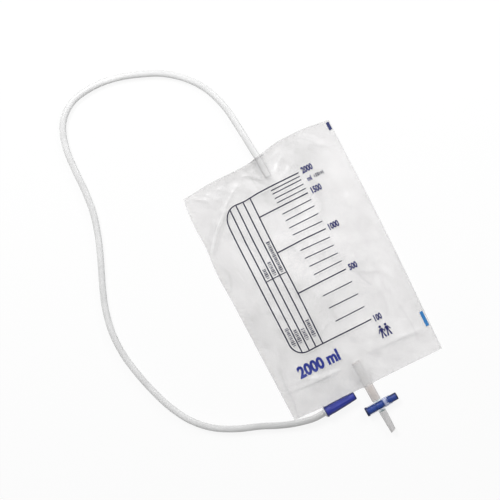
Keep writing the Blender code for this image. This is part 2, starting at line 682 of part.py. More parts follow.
def make_plunger(parent, materials):
    """A spool of lands and grooves: its waist opens the flow once it is pushed across by its travel."""
    groove_half = SEAL_SECTION + RUNNING_GAP
    groove_floor = PLUNGER_RADIUS + SEAL_PROUD - 2 * SEAL_SECTION - RUNNING_GAP
    seal_lift = groove_floor + RUNNING_GAP + SEAL_SECTION
    waist_start = PLUNGER_TRAVEL - PORT_RADIUS
    waist_end = PLUNGER_TRAVEL + PORT_RADIUS + WAIST_SPARE
    past_waist = SEAL_LAND + groove_half
    seals = (-PORT_RADIUS - PORT_LAND, waist_start - past_waist, waist_end + past_waist)
    flange_in = -SLEEVE_LEFT - RUNNING_GAP
    flange_out = flange_in - PLUNGER_FLANGE
    end = SLEEVE_RIGHT + PLUNGER_TRAVEL
    chamfer = PLUNGER_CHAMFER
    profile = [(flange_out, 0), (flange_out, SLEEVE_RADIUS - chamfer)]
    profile += [(flange_out + chamfer, SLEEVE_RADIUS)]
    profile += [(flange_in, SLEEVE_RADIUS), (flange_in, PLUNGER_RADIUS)]
    for index, seal in enumerate(seals):
        profile += [(seal - groove_half, PLUNGER_RADIUS), (seal - groove_half, groove_floor)]
        profile += [(seal + groove_half, groove_floor), (seal + groove_half, PLUNGER_RADIUS)]
        if index == 1:
            profile += [(waist_start, PLUNGER_RADIUS), (waist_start + WAIST_RAMP, WAIST_RADIUS)]
            profile += [(waist_end - WAIST_RAMP, WAIST_RADIUS), (waist_end, PLUNGER_RADIUS)]
    profile += [(end - chamfer, PLUNGER_RADIUS), (end, PLUNGER_RADIUS - chamfer), (end, 0)]
    plunger = turned("valve_plunger", profile, materials["plunger"])
    plunger.parent = parent
    ring_turns = [math.tau * index / RING_SIDES for index in range(RING_SIDES)]
    for number, seal in enumerate(seals, 1):
        ring = [
            (seal + SEAL_SECTION * math.cos(turn), seal_lift + SEAL_SECTION * math.sin(turn))
            for turn in ring_turns
        ]
        piece = turned(f"plunger_seal_{number}", ring, materials["seal"], hollow=True)
        piece.parent = parent


def stand_on_origin(root, free_names):
    """Moves everything so that the origin is under the middle of the box, free cord pieces apart."""
    bpy.context.view_layer.update()
    graph = bpy.context.evaluated_depsgraph_get()
    corners = []
    for obj in bpy.data.objects:
        if obj.type != "MESH" or obj.hide_render or obj.name in free_names:
            continue
        mesh = obj.evaluated_get(graph).to_mesh()
        corners += [obj.matrix_world @ vert.co for vert in mesh.vertices]
    spans = [sorted(corner[axis] for corner in corners) for axis in (0, 1)]
    root.location = (*(-(span[0] + span[-1]) / 2 for span in spans), 0)


def main():
    clear_scene()
    materials = {
        "film": finish("milky_film", (0.86, 0.86, 0.87), 0.28, alpha=0.85),
        "flap": finish("flap_film", (0.88, 0.88, 0.89), 0.3, alpha=0.8),
        "tube": finish("clear_tube", (0.78, 0.79, 0.78), 0.2, alpha=0.9),
        "outlet": finish("warm_tube", (0.62, 0.58, 0.54), 0.25, alpha=0.92),
        "spout": finish("grey_tube", (0.55, 0.54, 0.54), 0.25, alpha=0.92),
        "valve": finish("clear_valve", (0.55, 0.62, 0.78), 0.12, alpha=0.45),
        "plunger": finish("blue_plunger", (0.03, 0.05, 0.22), 0.3),
        "seal": finish("black_seal", (0.015, 0.015, 0.02), 0.5),
        "connector": finish("clear_connector", (0.8, 0.82, 0.86), 0.2, alpha=0.8),
        "cap": finish("blue_cap", (0.037, 0.047, 0.27), 0.35),
    }
    root = add_empty("bag_origin", (0, 0, 0), 0, None)
    valve_place = (OUTLET_X, VALVE_Y, FLOW_HEIGHT)
    connector_place = (CONNECTOR_X, CONNECTOR_Y, CONNECTOR_HEIGHT)
    flow_axis = add_empty("valve_axis", valve_place, TUBE_LEAN, root)
    cap_axis = add_empty("connector_axis", connector_place, CONNECTOR_TURN, root)
    make_films(root, materials)
    make_check_valve(root, materials)
    make_inlet_tube(root, materials)
    make_connector(cap_axis, materials)
    make_cap(cap_axis, materials)
    make_outlet(flow_axis, materials)
    make_valve_body(flow_axis, materials)
    make_plunger(flow_axis, materials)
    stand_on_origin(root, ("inlet_tube", "inlet_connector", "connector_cap"))


main()
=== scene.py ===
"""A two-litre urine drainage bag laid flat: printed welded films, tubes, cross valve and capped end."""

import math

import bmesh
import bpy
import numpy as np
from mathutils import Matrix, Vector
from mathutils.bvhtree import BVHTree


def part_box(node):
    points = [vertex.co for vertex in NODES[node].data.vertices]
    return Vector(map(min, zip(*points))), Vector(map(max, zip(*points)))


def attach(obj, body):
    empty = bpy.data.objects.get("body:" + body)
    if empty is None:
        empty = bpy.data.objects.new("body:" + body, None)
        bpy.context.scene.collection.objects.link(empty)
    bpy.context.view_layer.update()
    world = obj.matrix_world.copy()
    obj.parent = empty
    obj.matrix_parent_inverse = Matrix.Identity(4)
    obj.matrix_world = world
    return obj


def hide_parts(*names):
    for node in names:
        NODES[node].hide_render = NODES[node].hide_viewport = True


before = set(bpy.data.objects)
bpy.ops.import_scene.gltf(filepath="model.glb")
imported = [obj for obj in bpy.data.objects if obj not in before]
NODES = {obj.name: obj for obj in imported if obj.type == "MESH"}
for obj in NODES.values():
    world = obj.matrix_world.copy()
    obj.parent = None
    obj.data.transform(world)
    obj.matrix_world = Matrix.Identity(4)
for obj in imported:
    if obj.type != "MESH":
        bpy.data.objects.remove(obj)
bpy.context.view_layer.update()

MM = 0.001
# Past every part of the object, in metres
FAR = 1.0

# View: straight down on the bag, which lies turned on the ground
VIEW_CENTRE = (-53.7 * MM, 84.3 * MM)
VIEW_WIDTH = 600 * MM
VIEW_TURN = math.radians(-26.4)
LENS = 85
SENSOR = 36

# Studio
FLOOR_SIZE = 8.0
FLOOR_LEVEL = -0.1 * MM
FLOOR_GLOW = 0.88
KEY_PLACE = (-0.3, 1.15, 1.2)
KEY_SIZE = 0.6
KEY_POWER = 17.5
FILL_PLACE = (0.7, 0.45, 0.7)
FILL_SIZE = 0.6
FILL_POWER = 4.2
WORLD_LIGHT = 0.32

# Panel of welded films: the point that its tubes are placed from, and the middle of its print
PANEL_PLACE = Vector((2.498 * MM, 27.434 * MM, 0))
PRINT_PLACE = (2.5 * MM, 28.43 * MM)
FILM = 0.25 * MM
COLUMNS = 166
ROWS = 250
BACK_COLUMNS = 110
BACK_ROWS = 164
# Rays that find the outline: how many for each pair of sides, and how far they stay from the corners
OUTLINE_COLUMNS = 60
OUTLINE_ROWS = 90
LEFT_CLEAR = 8.5 * MM
RIGHT_CLEAR = 4 * MM
LOW_CLEAR = 3 * MM
TOP_CLEAR = 15 * MM
# Share of its way from the panel's middle at which a point reads the solid, so that the edge meets it
READ_SHARE = 0.997

# Weld round the edge: its width, the slope inside it, the gap between its films, and the low ridge
WELD_BAND = 8 * MM
WELD_SLOPE = 3 * MM
WELD_GAP = 0.2 * MM
WELD_RIDGE = 0.45 * MM
WELD_RIDGE_HALF = 1.3 * MM
# Shares of the waves that the weld takes away, and of the raised creases that it keeps
WELD_FLATTENS = 0.88
WELD_KEEPS = 0.35
# Waves and creases grow inwards over this distance, and have this share of it behind them at the edge
EDGE_FADE = 12 * MM
EDGE_FADE_START = 0.25
# Slow lift of both films' free edge, which the tubes hold still; wave lengths are in millimetres
EDGE_LIFT = 0.9 * MM
EDGE_LIFT_BAND = 26 * MM
EDGE_STILL = 34 * MM
EDGE_WAVES = 5
EDGE_WAVES_FULL = 3
EDGE_WAVE_LENGTHS = (45, 110)
EDGE_SEED = 5

# Film drawn over a tube: its gap, the skirt beside the tube and how steeply that falls, its reach
# past the tube's inner end, and how far both tubes lean from the panel's length
DRAPE_GAP = 0.35 * MM
COVER_SKIRT = 3 * MM
COVER_SLOPE = 1.6
COVER_PAST_END = 1 * MM
TUBE_LEAN = math.radians(2.7)
# The film is taut up to the first distance from a tube's middle line, and eases off over the second
OUTLET_TAUT = (4 * MM, 9 * MM)
INLET_TAUT = (3 * MM, 8 * MM)
TAUT_PAST_END = 12 * MM
# How softly the front film meets the back film and each tube
CONTACT_EASE = 0.3 * MM
OUTLET_EASE = 0.5 * MM
INLET_EASE = 1.4 * MM
# Softening of the solid's form, and of the film's rise round the flap, in steps of the grid
BASE_BLUR = 3
FLAP_BLUR = 5

# Soft waves of the front film: how many, shortest and longest in millimetres, and height
WAVES = ((9, 26, 70, 0.6 * MM), (12, 9, 24, 0.06 * MM))
WAVE_SEED = 11
# Mean height of a wave's crested form
CREST_MEAN = 0.73
# Patches of painted shade that also make the film denser, and below 0 of painted light that makes it thinner:
# place and reach in print millimetres, and by how much
PAINTED_FILM_SHADING = (
    ((-15, 45), 110, -0.45),
    ((0, 122), 36, -0.5),
    ((45, 142), 50, 0.5),
    ((-45, 142), 45, 0.35),
)
# The sharpest fold, along which a highlight and shade are painted, from the left weld up to the table's
# corner, in print millimetres
SHARP_FOLD = ((-101.5, 70), (-57, 114.5))
SHARP_FOLD_BEND = 2.8 * MM

# All creases: their gain in height, the width of their left and right sides, and their fade at both
# ends, as a share of their length and the share of it behind them at the very end
CREASE_GAIN = 1.7
CREASE_SIDES = (1.5, 0.8)
CREASE_FADE = 0.3
CREASE_START = 0.2
# Creases of the front film: start, end, height, half width and sideways bend, in print millimetres
CREASES = (
    ((-102, 66), (-66, 108), 1.5, 1.3, 3),
    ((-72, 103), (-38, 130), 0.8, 1.2, 1),
    ((-101, 56), (-62, 104), -0.9, 3.2, 3),
    ((-98, 90), (-62, 122), -0.7, 2.2, 1),
    ((-92, 142), (-72, 126), 0.9, 2.0, 1),
    ((-78, 146), (-60, 122), 0.8, 2.4, -1),
    ((-60, 140), (-46, 124), 0.7, 2.4, 1),
    ((-30, 142), (-5, 122), 1.1, 2.2, 2),
    ((-22, 134), (-3, 112), -0.7, 2.0, 1),
    ((32, 142), (9, 120), 1.0, 2.4, -2),
    ((44, 130), (14, 116), 0.7, 3.0, 1),
    ((24, 150), (34, 122), 0.6, 2.2, 0),
    ((58, 152), (72, 136), 0.7, 2.0, 0),
    ((60, 140), (88, 120), 0.8, 3.4, 2),
    ((-74, -16), (-52, -42), 1.1, 3.4, 3),
    ((-66, -40), (-50, -78), 0.9, 3.0, -3),
    ((-24, -71), (-11, -63), 1.1, 1.4, 0),
    ((-20, -46), (24, -38), 0.6, 3.4, 2),
    ((-94, -117), (-8, -119), 1.2, 2.2, -2),
    ((-86, -110), (-30, -125), 0.8, 2.6, 2),
    ((-40, -116), (-10, -120), -0.9, 1.8, 0),
    ((14, -118), (96, -122), 1.0, 2.8, 2),
    ((40, -108), (94, -126), 0.6, 3.2, -3),
    ((46, -22), (72, -34), 0.8, 2.6, -2),
    ((72, -34), (84, -62), 0.9, 2.8, 2),
    ((84, -62), (70, -88), 0.9, 2.8, 3),
    ((88, -20), (96, -70), 0.7, 2.8, -1),
    ((-99, 30), (-84, -24), 0.8, 3.2, -3),
    ((-92, -30), (-84, -86), 0.7, 3.2, 2),
    ((60, 70), (90, 20), 0.6, 4.4, 5),
    ((54, 8), (92, -4), 0.5, 3.6, 2),
)

# Shares of a surface's slopes that its shading keeps
FILM_SLOPE = 0.75
TUBE_SLOPE = 0.6

# Non-return flaps: their grids, the film's gap over them, and the bands that hold their corners
FLAP_GRIDS = {"check_valve_front": (60, 70), "check_valve_back": (12, 16)}
FLAP_GAP = 0.1 * MM
FLAP_TOP_BAND = 8 * MM
FLAP_END_BAND = 2 * MM

# Inlet tube
INLET_RADIUS = 4 * MM
INLET_BORE = 3.05 * MM
INLET_SIDES = 32
TUBE_END_GAP = 1.9 * MM
STRAIGHT_LEAD = 4 * MM
ROUTE_SPACING = 2 * MM
ROUTE_STEPS = 12
# The route's points in panel millimetres, from inside the bag to the connector's spigot
INLET_ROUTE = (
    (2.1, 126.0, 5.0), (1.5, 139.0, 5.0), (0.9, 152.0, 5.0), (-0.6, 166.0, 4.7), (-3.2, 194.3, 4.0),
    (-7.1, 223.2, 4.0), (-16.7, 251.0, 4.0), (-33.2, 273.9, 4.0), (-55.4, 292.0, 4.0),
    (-81.7, 304.1, 4.0), (-109.1, 312.5, 4.0), (-137.7, 315.3, 4.0), (-167.2, 310.2, 4.0),
    (-188.7, 292.8, 4.0), (-198.9, 265.6, 4.0), (-201.3, 236.4, 4.0), (-201.8, 207.3, 4.0),
    (-204.8, 178.7, 4.0), (-212.2, 151.0, 4.0), (-222.1, 124.2, 4.0), (-233.1, 97.5, 4.0),
    (-242.5, 70.7, 4.0), (-247.9, 42.3, 4.0), (-247.7, 13.3, 4.0), (-242.9, -14.4, 4.0),
    (-235.4, -42.0, 4.0), (-225.4, -68.8, 4.0), (-211.1, -93.6, 4.0), (-191.1, -113.6, 4.0),
    (-166.3, -127.5, 4.0), (-138.9, -137.6, 4.0), (-121.0, -145.6, 4.0), (-106.2, -151.1, 4.4),
    (-94.9, -154.1, 5.4), (-84.2, -156.3, 6.5), (-78.1, -157.15, 6.9), (-72.2, -157.3, 6.95),
)
INLET_INNER_END, INLET_INSIDE, INLET_EXIT = INLET_ROUTE[:3]
CONNECTOR_PLACE = Vector((-58.802 * MM, -129.266 * MM, 6.95 * MM))
CONNECTOR_TURN = math.radians(3.2)

# Cross valve
VALVE_MIDDLE = (2.3 * MM, -150.57 * MM, 5.95 * MM)
VALVE_FLOW = (-0.0471, 0.9989, 0)
VALVE_ROD = (0.9989, 0.0471, 0)

# Stretches of the tubes inside the bag: how far they reach from their middle, along the tube, and
# how far from the valve the outlet's middle lies
INLET_INSIDE_REACH = 13.5 * MM
OUTLET_INSIDE_REACH = 16 * MM
OUTLET_INSIDE_UP = 43 * MM
# Where painted shade darkens the plunger's ends along its rod, and how far in the cap's mouth and tip it does
PLUNGER_END_SHADE = (-15.4 * MM, 21.8 * MM)
CAP_MOUTH_SHADE = 1.6 * MM
CAP_TIP_SHADE = 2.2 * MM
# Moulded pieces: the rounding of their hard edges, and the angle from which an edge is hard
EDGE_ROUND = 0.15 * MM
HARD_EDGE = math.radians(30)

# Melted edge of the films
BEAD_WIDTH = 0.7 * MM
BEAD_INSET = 0.6 * MM
# Painted shadow under the film's lip over the inlet tube, drawn as dark lines: lines of print millimetres and
# their widths
LIP_SHADOW = (
    (((-11.6, 149.1), (-6.5, 149.5)), 0.5 * MM),
    (((-6.4, 149.5), (1.4, 150.2)), 0.85 * MM),
    (((1.5, 150.2), (9.8, 150.9)), 0.6 * MM),
)

# Ink: its thickness, its lift off the film, and the steps in which it follows the film
INK_THICK = 0.04 * MM
INK_LIFT = 0.1 * MM
INK_STEP = 0.7 * MM
INK_LONGEST = 1.6 * INK_STEP
# Widths of the long and of the minor lines, and of the plain bars, with their strokes and pitch
LINE_WIDTH = 1.5 * MM
MINOR_WIDTH = 1.15 * MM
LABEL_WIDTH = 4.4 * MM
LABEL_LETTER = 1.15
LABEL_PITCH = 2.25
# All places of the print are in millimetres from the middle of the printed panel
# Scale: its long lines
MAJOR_LINES = (
    ((-28.9, 85.8), (7, 86.3), (36.4, 86.5)),
    ((-28.6, 38.1), (-16, 38.4), (7, 39.0), (27, 38.6), (36.4, 38.4)),
    ((-27.9, -16.4), (-16, -16.2), (7, -15.8), (36.4, -15.6)),
)
# Minor lines: the left end and the heights of both ends of each, and the right end of all
MINOR_LINES = (
    (-2.4, 108.1, 108.6), (-2.4, 103.6, 104.1), (-2.4, 97.7, 98.2), (-2.4, 91.9, 92.5), (-2.4, 77.0, 77.6),
    (-2.4, 68.1, 69.1), (-2.4, 58.5, 58.7), (-2.4, 49.1, 48.4), (-2.4, 28.4, 27.3), (-1.9, 17.6, 16.6),
    (-1.2, 6.6, 6.0), (-1.0, -4.7, -4.3), (-2.4, -32.3, -32.1), (-2.4, -48.6, -48.6), (-2.4, -66.1, -65.6),
)
LINE_END = 36.4
# Numerals: text, left end and place up the scale of each, and the height of all
NUMERALS = (
    ("2000", 41.2, 113.8), ("1500", 40.2, 87.2), ("1000", 39.2, 38.8), ("500", 40.4, -15.2),
    ("100", 39.4, -83.4),
)
NUMERAL_HEIGHT = 7.6
# Writing table: its frame, and its columns from their upper ends down
FRAME_LINE = (
    (37, 113.05), (28, 113.1), (10, 112.95), (-6, 112.85), (-18, 112.5), (-28, 111.6), (-36, 110.9),
    (-42, 111.1), (-47, 111.5), (-49.5, 111.6), (-52.2, 111.2), (-54.8, 110.4), (-57.2, 109.1),
    (-59.4, 107.5), (-61.3, 105.6), (-62.9, 103.4), (-64.3, 101.0), (-65.4, 98.3), (-66.2, 94.5),
    (-66.5, 88), (-66.6, 72), (-66.4, 50), (-66.1, 30), (-65.85, 8), (-65.5, -12), (-65.1, -34),
    (-64.8, -50), (-64.6, -60), (-64.6, -67), (-64.3, -69.9), (-63.5, -72.8), (-62.2, -75.4),
    (-60.5, -77.8), (-58.3, -80.0), (-55.8, -81.7), (-53, -82.8), (-49.9, -83.5), (-46, -83.5),
    (-40, -83.3), (-15, -83.05), (5, -83.15), (37, -82.9),
)
COLUMN_LINES = (
    ((-56.5, 109.5), (-56.95, 65), (-56.3, 24), (-55.7, -19), (-55.1, -55), (-54.8, -82.1)),
    ((-47.75, 111.4), (-47.95, 65), (-47.25, 24), (-46.7, -19), (-46.25, -55), (-46.1, -83.4)),
    ((-38.4, 110.9), (-38.45, 65), (-37.95, 24), (-37.2, -19), (-36.95, -55), (-37.0, -83.2)),
    ((-28.7, 111.5), (-29.0, 65), (-28.6, 24), (-27.8, -19), (-27.7, -55), (-27.85, -83.1)),
)
CROSS_LINE = ((-56, 12.7), (-28.4, 13.0))
# Places of the field names, each a plain bar: x, lower end and upper end
FIELD_BARS = (
    (-59.4, -71, -45), (-51, -71, -51), (-42, -71, -55), (-32.6, -71, -47),
    (-51.7, 15.5, 29.5), (-42.6, 15.5, 34), (-33.2, 15.5, 58),
)
# Plain bar beside the scale's unit: its height, left end and right end
UNIT_BAR = (101.3, 52, 66)
# Height of the font's capitals as a share of its size
CAPITAL_SHARE = 0.73
# Lettering: text, left end, baseline, height, share of the font's width, and extra weight, of which
# the scale's numerals share the last three
NUMERAL_SHAPE = (NUMERAL_HEIGHT, 0.67, 0.46)
UNIT = ("ml", 43, 98.8, 5.8, 0.72, 0.28)
VOLUME = ("2000 ml", -70, -109, 14, 0.86, 0.9)
# Plain marks at the right edge: their left, lower, right and upper sides, ink and colour
EDGE_MARKS = {
    "print_edge_mark_top": ((92.8, 142, 96.6, 152), "navy_mark_ink", (0.02, 0.03, 0.13)),
    "print_edge_mark_low": ((92.4, -120.2, 96.4, -101.2), "light_mark_ink", (0.03, 0.2, 0.5)),
}
# Walking figures: where they stand, and the head, trunk, legs and arms about that line
FIGURE_PLACES = (42.0, 49.2)
FIGURE_HEAD = -95.6
FIGURE_HEAD_RADIUS = 1.6
FIGURE_HEAD_SIDES = 20
FIGURE_PARTS = (
    ((-1.9, -97.6), (1.9, -97.6), (1.6, -103), (-1.6, -103)),
    ((-1.5, -103.1), (0.1, -103.1), (-1.3, -109.6), (-3.3, -109.6)),
    ((0.2, -103.1), (1.6, -103.1), (3.4, -109.6), (1.4, -109.6)),
    ((-2.0, -97.7), (-2.0, -99.9), (-3.7, -103.4), (-4.6, -102.8)),
    ((2.0, -97.7), (4.3, -102.3), (3.4, -103.1), (1.9, -100.1)),
)


def from_panel(point):
    """A point in panel millimetres, as a place in metres."""
    return Vector(point) * MM + PANEL_PLACE


def from_print(x, y):
    """A point in print millimetres, as a place in metres on the ground."""
    return Vector((x * MM + PRINT_PLACE[0], y * MM + PRINT_PLACE[1], 0))


class Socket:
    """One output of a material's nodes, with arithmetic that adds the Math nodes it needs."""

    def __init__(self, paint, output):
        self.paint = paint
        self.output = output

    def maths(self, operation, *values):
        return self.paint.add("ShaderNodeMath", {"operation": operation}, *values)

    def __add__(self, other):
        return self.maths("ADD", self, other)

    def __sub__(self, other):
        return self.maths("SUBTRACT", self, other)

    def __rsub__(self, other):
        return self.maths("SUBTRACT", other, self)

    def __mul__(self, other):
        return self.maths("MULTIPLY", self, other)

    def __truediv__(self, other):
        return self.maths("DIVIDE", self, other)

    __radd__ = __add__
    __rmul__ = __mul__

    def size(self):
        return self.maths("ABSOLUTE", self)

    def ramp(self, low, high):
        """0 below low, 1 above high, and smooth between them."""
        settings = {"interpolation_type": "SMOOTHSTEP"}
        return self.paint.add("ShaderNodeMapRange", settings, self, low, high, 0.0, 1.0)


class Paint:
    """A material whose Principled shader is fed by nodes."""

    def __init__(self, name, colour, roughness, alpha=1.0, coat=0.0):
        self.material = bpy.data.materials.new(name)
        self.material.use_nodes = True
        self.tree = self.material.node_tree
        self.shader = self.tree.nodes["Principled BSDF"]
        self.set("Base Color", (*colour, 1))
        self.set("Roughness", roughness)
        self.set("Alpha", alpha)
        self.set("Coat Weight", coat)

    def feed(self, place, value):
        if isinstance(value, Socket):
            self.tree.links.new(value.output, place)
        else:
            place.default_value = value

    def set(self, name, value):
        self.feed(self.shader.inputs[name], value)

    def add(self, kind, settings, *values, out=0, **named):
        """Any node: its settings first, then the values or links of its sockets, in order or by name."""
        node = self.tree.nodes.new(kind)
        for key, value in settings.items():
            setattr(node, key, value)
        for place, value in zip(node.inputs, values):
            self.feed(place, value)
        for key, value in named.items():
            self.feed(node.inputs[key.replace("_", " ").title()], value)
        return Socket(self, node.outputs[out])

    def place(self, stretch=(1, 1, 1), turn=0.0):
        """The surface's own coordinates, stretched and turned about Z."""
        own = self.add("ShaderNodeTexCoord", {}, out=3)
        return self.add("ShaderNodeMapping", {}, own, Rotation=(0, 0, turn), Scale=stretch)

    def noise(self, scale, detail=3.0, roughness=0.5, stretch=(1, 1, 1), turn=0.0, distortion=0.0):
        return self.add(
            "ShaderNodeTexNoise",
            {},
            Vector=self.place(stretch, turn),
            Scale=scale,
            Detail=detail,
            Roughness=roughness,
            Distortion=distortion,
        )

    def mix(self, share, first, second):
        """A colour between two."""
        node = self.tree.nodes.new("ShaderNodeMix")
        node.data_type = "RGBA"
        for index, value in ((0, share), (6, first), (7, second)):
            self.feed(node.inputs[index], value)
        return Socket(self, node.outputs[2])

    def eased(self, normal, slope):
        """A normal with its slopes made gentler, as light that scatters inside a film hides them."""
        bent = self.add("ShaderNodeVectorMath", {"operation": "MULTIPLY"}, normal, (slope, slope, 1.0))
        return self.add("ShaderNodeVectorMath", {"operation": "NORMALIZE"}, bent)

    def across(self, direction, middle=(0.0, 0.0, 0.0)):
        """Distance along a direction from a point of the surface's own space."""
        own = self.add("ShaderNodeTexCoord", {}, out=3)
        away = self.add("ShaderNodeVectorMath", {"operation": "SUBTRACT"}, own, middle)
        return self.add("ShaderNodeVectorMath", {"operation": "DOT_PRODUCT"}, away, direction, out=1)

    def beside(self, start, end, bend):
        """Distance to the left of a bent line, in metres, and how much of the line is passed there."""
        run = Vector(end) - Vector(start)
        length = run.length
        share = self.across(run / length, start) / length
        aside = self.across(Vector((-run.y, run.x, 0)) / length, start)
        return aside - (share * (1 - share)) * (4 * bend), share

    def near(self, middle):
        """Distance from a point of the surface's own space."""
        own = self.add("ShaderNodeTexCoord", {}, out=3)
        return self.add("ShaderNodeVectorMath", {"operation": "DISTANCE"}, own, middle, out=1)

    def top(self, low, high):
        """0 on a round piece's flanks and 1 on its upper side, for painted shade on the flanks."""
        normal = self.add("ShaderNodeTexCoord", {}, out=1)
        rise = self.add("ShaderNodeVectorMath", {"operation": "DOT_PRODUCT"}, normal, (0.0, 0.0, 1.0), out=1)
        return rise.size().ramp(low, high)

    def bump(self, height, strength, distance, normal=None):
        values = {"Strength": strength, "Distance": distance, "Height": height}
        if normal:
            values["Normal"] = normal
        return self.add("ShaderNodeBump", {}, **values)


def shade(colour, factor):
    """A colour made darker or lighter, with full alpha."""
    return (*(channel * factor for channel in colour), 1)


def fold_highlight_and_shade(paint, start, end, bend):
    """A sharp fold: a painted highlight along its ridge, and painted shade where the film leans on both
    sides.
    """
    aside, share = paint.beside(start, end, bend)
    away = aside.size()
    middle_part = share.ramp(0.0, 0.15) * (1 - share.ramp(0.85, 1.0))
    # Painted highlight along the ridge, and painted shade on the film leaning beside it
    ridge = 1 - away.ramp(0.9 * MM, 2.2 * MM)
    lean = away.ramp(1.2 * MM, 2.6 * MM) * (1 - away.ramp(5 * MM, 10 * MM))
    return (lean * 0.6 - ridge * 0.55) * middle_part


def film_paint(name, colour, alpha, fold=None):
    """Milky soft PVC: satin and softly streaked, with painted shade to one side, along its fine creases and
    beside a sharp fold, a painted highlight on that fold's ridge, and patches of painted shade and painted
    light; the painted shade also makes it denser, and the painted light thinner.
    """
    paint = Paint(name, colour, 0.34, alpha, coat=0.2)
    paint.set("Coat Roughness", 0.25)
    crinkle = (paint.noise(22, 1, 0.4, (1, 0.45, 1), 0.6, 0.6) - 0.5).size()
    # Painted shade along the fine creases, which also makes the film denser there
    crease_shade = 1 - crinkle.ramp(0.0, 0.04)
    streaks = paint.noise(11, 2, 0.5, (1, 0.4, 1), 0.9).ramp(0.3, 0.7)
    clouds = paint.noise(28, 2, 0.5).ramp(0.35, 0.65)
    # Painted shade: darker and denser towards one side of the film, where the lamps' light falls off
    painted_side_shade = 1 - paint.across((0.95, -0.3, 0.0)).ramp(-110 * MM, 110 * MM)
    density_and_shade = (crease_shade * clouds) * 0.35 + streaks * 0.4 + clouds * 0.3 + painted_side_shade * 0.4
    # Patches of painted shade and painted light
    for centre, reach, more in PAINTED_FILM_SHADING:
        density_and_shade = density_and_shade + (1 - paint.near(from_print(*centre)).ramp(0, reach * MM)) * more
    # Painted highlight and painted shade along the sharpest fold
    if fold:
        density_and_shade = density_and_shade + fold_highlight_and_shade(paint, *fold)
    paint.set("Base Color", paint.mix(density_and_shade, shade(colour, 1.0), shade(colour, 0.8)))
    paint.set("Alpha", density_and_shade * (alpha * 0.22) + alpha * 0.93)
    paint.set("Roughness", paint.noise(60, 2) * 0.14 + 0.26)
    fine = paint.bump(paint.noise(1500, 2, 0.5), 0.1, 0.05 * MM)
    paint.set("Normal", paint.eased(paint.bump(crinkle, 0.25, 2 * MM, fine), FILM_SLOPE))
    return paint.material


def tube_paint(name, colour, alpha, roughness, coat, flank_shade=1.0, hidden=None, greyer=None):
    """Extruded soft tube: slightly cloudy, with painted shade down its flanks, and greyer near one place."""
    paint = Paint(name, colour, roughness, alpha, coat=coat)
    clouds = paint.noise(45, 2, 0.5)
    core = paint.mix(clouds.ramp(0.25, 0.75), shade(colour, 0.95), shade(colour, 1.04))
    # Painted shade: darker flanks and a lighter upper side, as light falls from above
    body = paint.mix(paint.top(0.25, 0.8), shade(colour, flank_shade), core)
    if greyer:
        body = paint.mix(paint.near(greyer).ramp(30 * MM, 170 * MM), shade(colour, 0.78), body)
    if hidden:
        # Inside the bag the milky film hides most of the tube
        middle, reach, seen_colour, seen_alpha = hidden
        inside = 1 - paint.near(middle).ramp(reach - 2 * MM, reach + 1 * MM)
        body = paint.mix(inside, body, (*seen_colour, 1))
        paint.set("Alpha", alpha - inside * (alpha - seen_alpha))
    paint.set("Base Color", body)
    paint.set("Roughness", clouds * 0.1 + (roughness - 0.05))
    paint.set("Normal", paint.eased(paint.bump(paint.noise(700, 2, 0.5), 0.08, 0.04 * MM), TUBE_SLOPE))
    return paint.material


def moulded_paint(name, colour, roughness, alpha=1.0, coat=0.0, flank_shade=1.0, ends=None, round_side=(0.2, 0.75)):
    """Injection-moulded plastic: a faint spark texture, slight colour flow, and painted shade on its flanks
    and ends.
    """
    paint = Paint(name, colour, roughness, alpha, coat=coat)
    paint.set("Coat Roughness", 0.12)
    flow = paint.noise(130, 3, 0.5)
    core = paint.mix(flow.ramp(0.3, 0.7), shade(colour, 0.9), shade(colour, 1.1))
    # Painted shade: darker flanks and a lighter upper side, as light falls from above
    body = paint.mix(paint.top(*round_side), shade(colour, flank_shade), core)
    # Painted shade at both ends along the axis
    if ends:
        direction, middle, low, high = ends
        along = paint.across(direction, middle)
        outer = along.ramp(high, high + 1.2 * MM) + (1 - along.ramp(low - 0.8 * MM, low))
        body = paint.mix(outer, body, shade(colour, 0.3))
    paint.set("Base Color", body)
    paint.set("Roughness", flow * 0.12 + (roughness - 0.06))
    paint.set("Normal", paint.bump(paint.noise(2600, 2, 0.5), 0.1, 0.03 * MM))
    return paint.material


def sleeve_paint():
    """Blue-tinted clear moulding, almost colourless at its two tube collars."""
    paint = Paint("clear_valve", (0.12, 0.25, 0.62), 0.3, 0.16, coat=0.05)
    collar = paint.across(VALVE_FLOW, VALVE_MIDDLE).size().ramp(5.4 * MM, 6.2 * MM)
    along = paint.across(VALVE_ROD, VALVE_MIDDLE)
    mouth = along.ramp(5.2 * MM, 6.8 * MM) * (1 - along.ramp(8 * MM, 12 * MM))
    sleeve = paint.mix(mouth, (0.05, 0.14, 0.58, 1), (0.6, 0.65, 0.9, 1))
    paint.set("Base Color", paint.mix(collar, sleeve, (0.5, 0.7, 0.72, 1)))
    paint.set("Alpha", collar * 0.16 + mouth * 0.3 + 0.15)
    paint.set("Roughness", paint.noise(300, 2, 0.5) * 0.1 + 0.28)
    return paint.material


def ink_paint(name, colour):
    """Screen print: matt and a little patchy."""
    paint = Paint(name, colour, 0.55)
    wear = paint.noise(900, 2, 0.6)
    paint.set("Base Color", paint.mix(wear.ramp(0.35, 0.65), shade(colour, 0.85), shade(colour, 1.25)))
    return paint.material


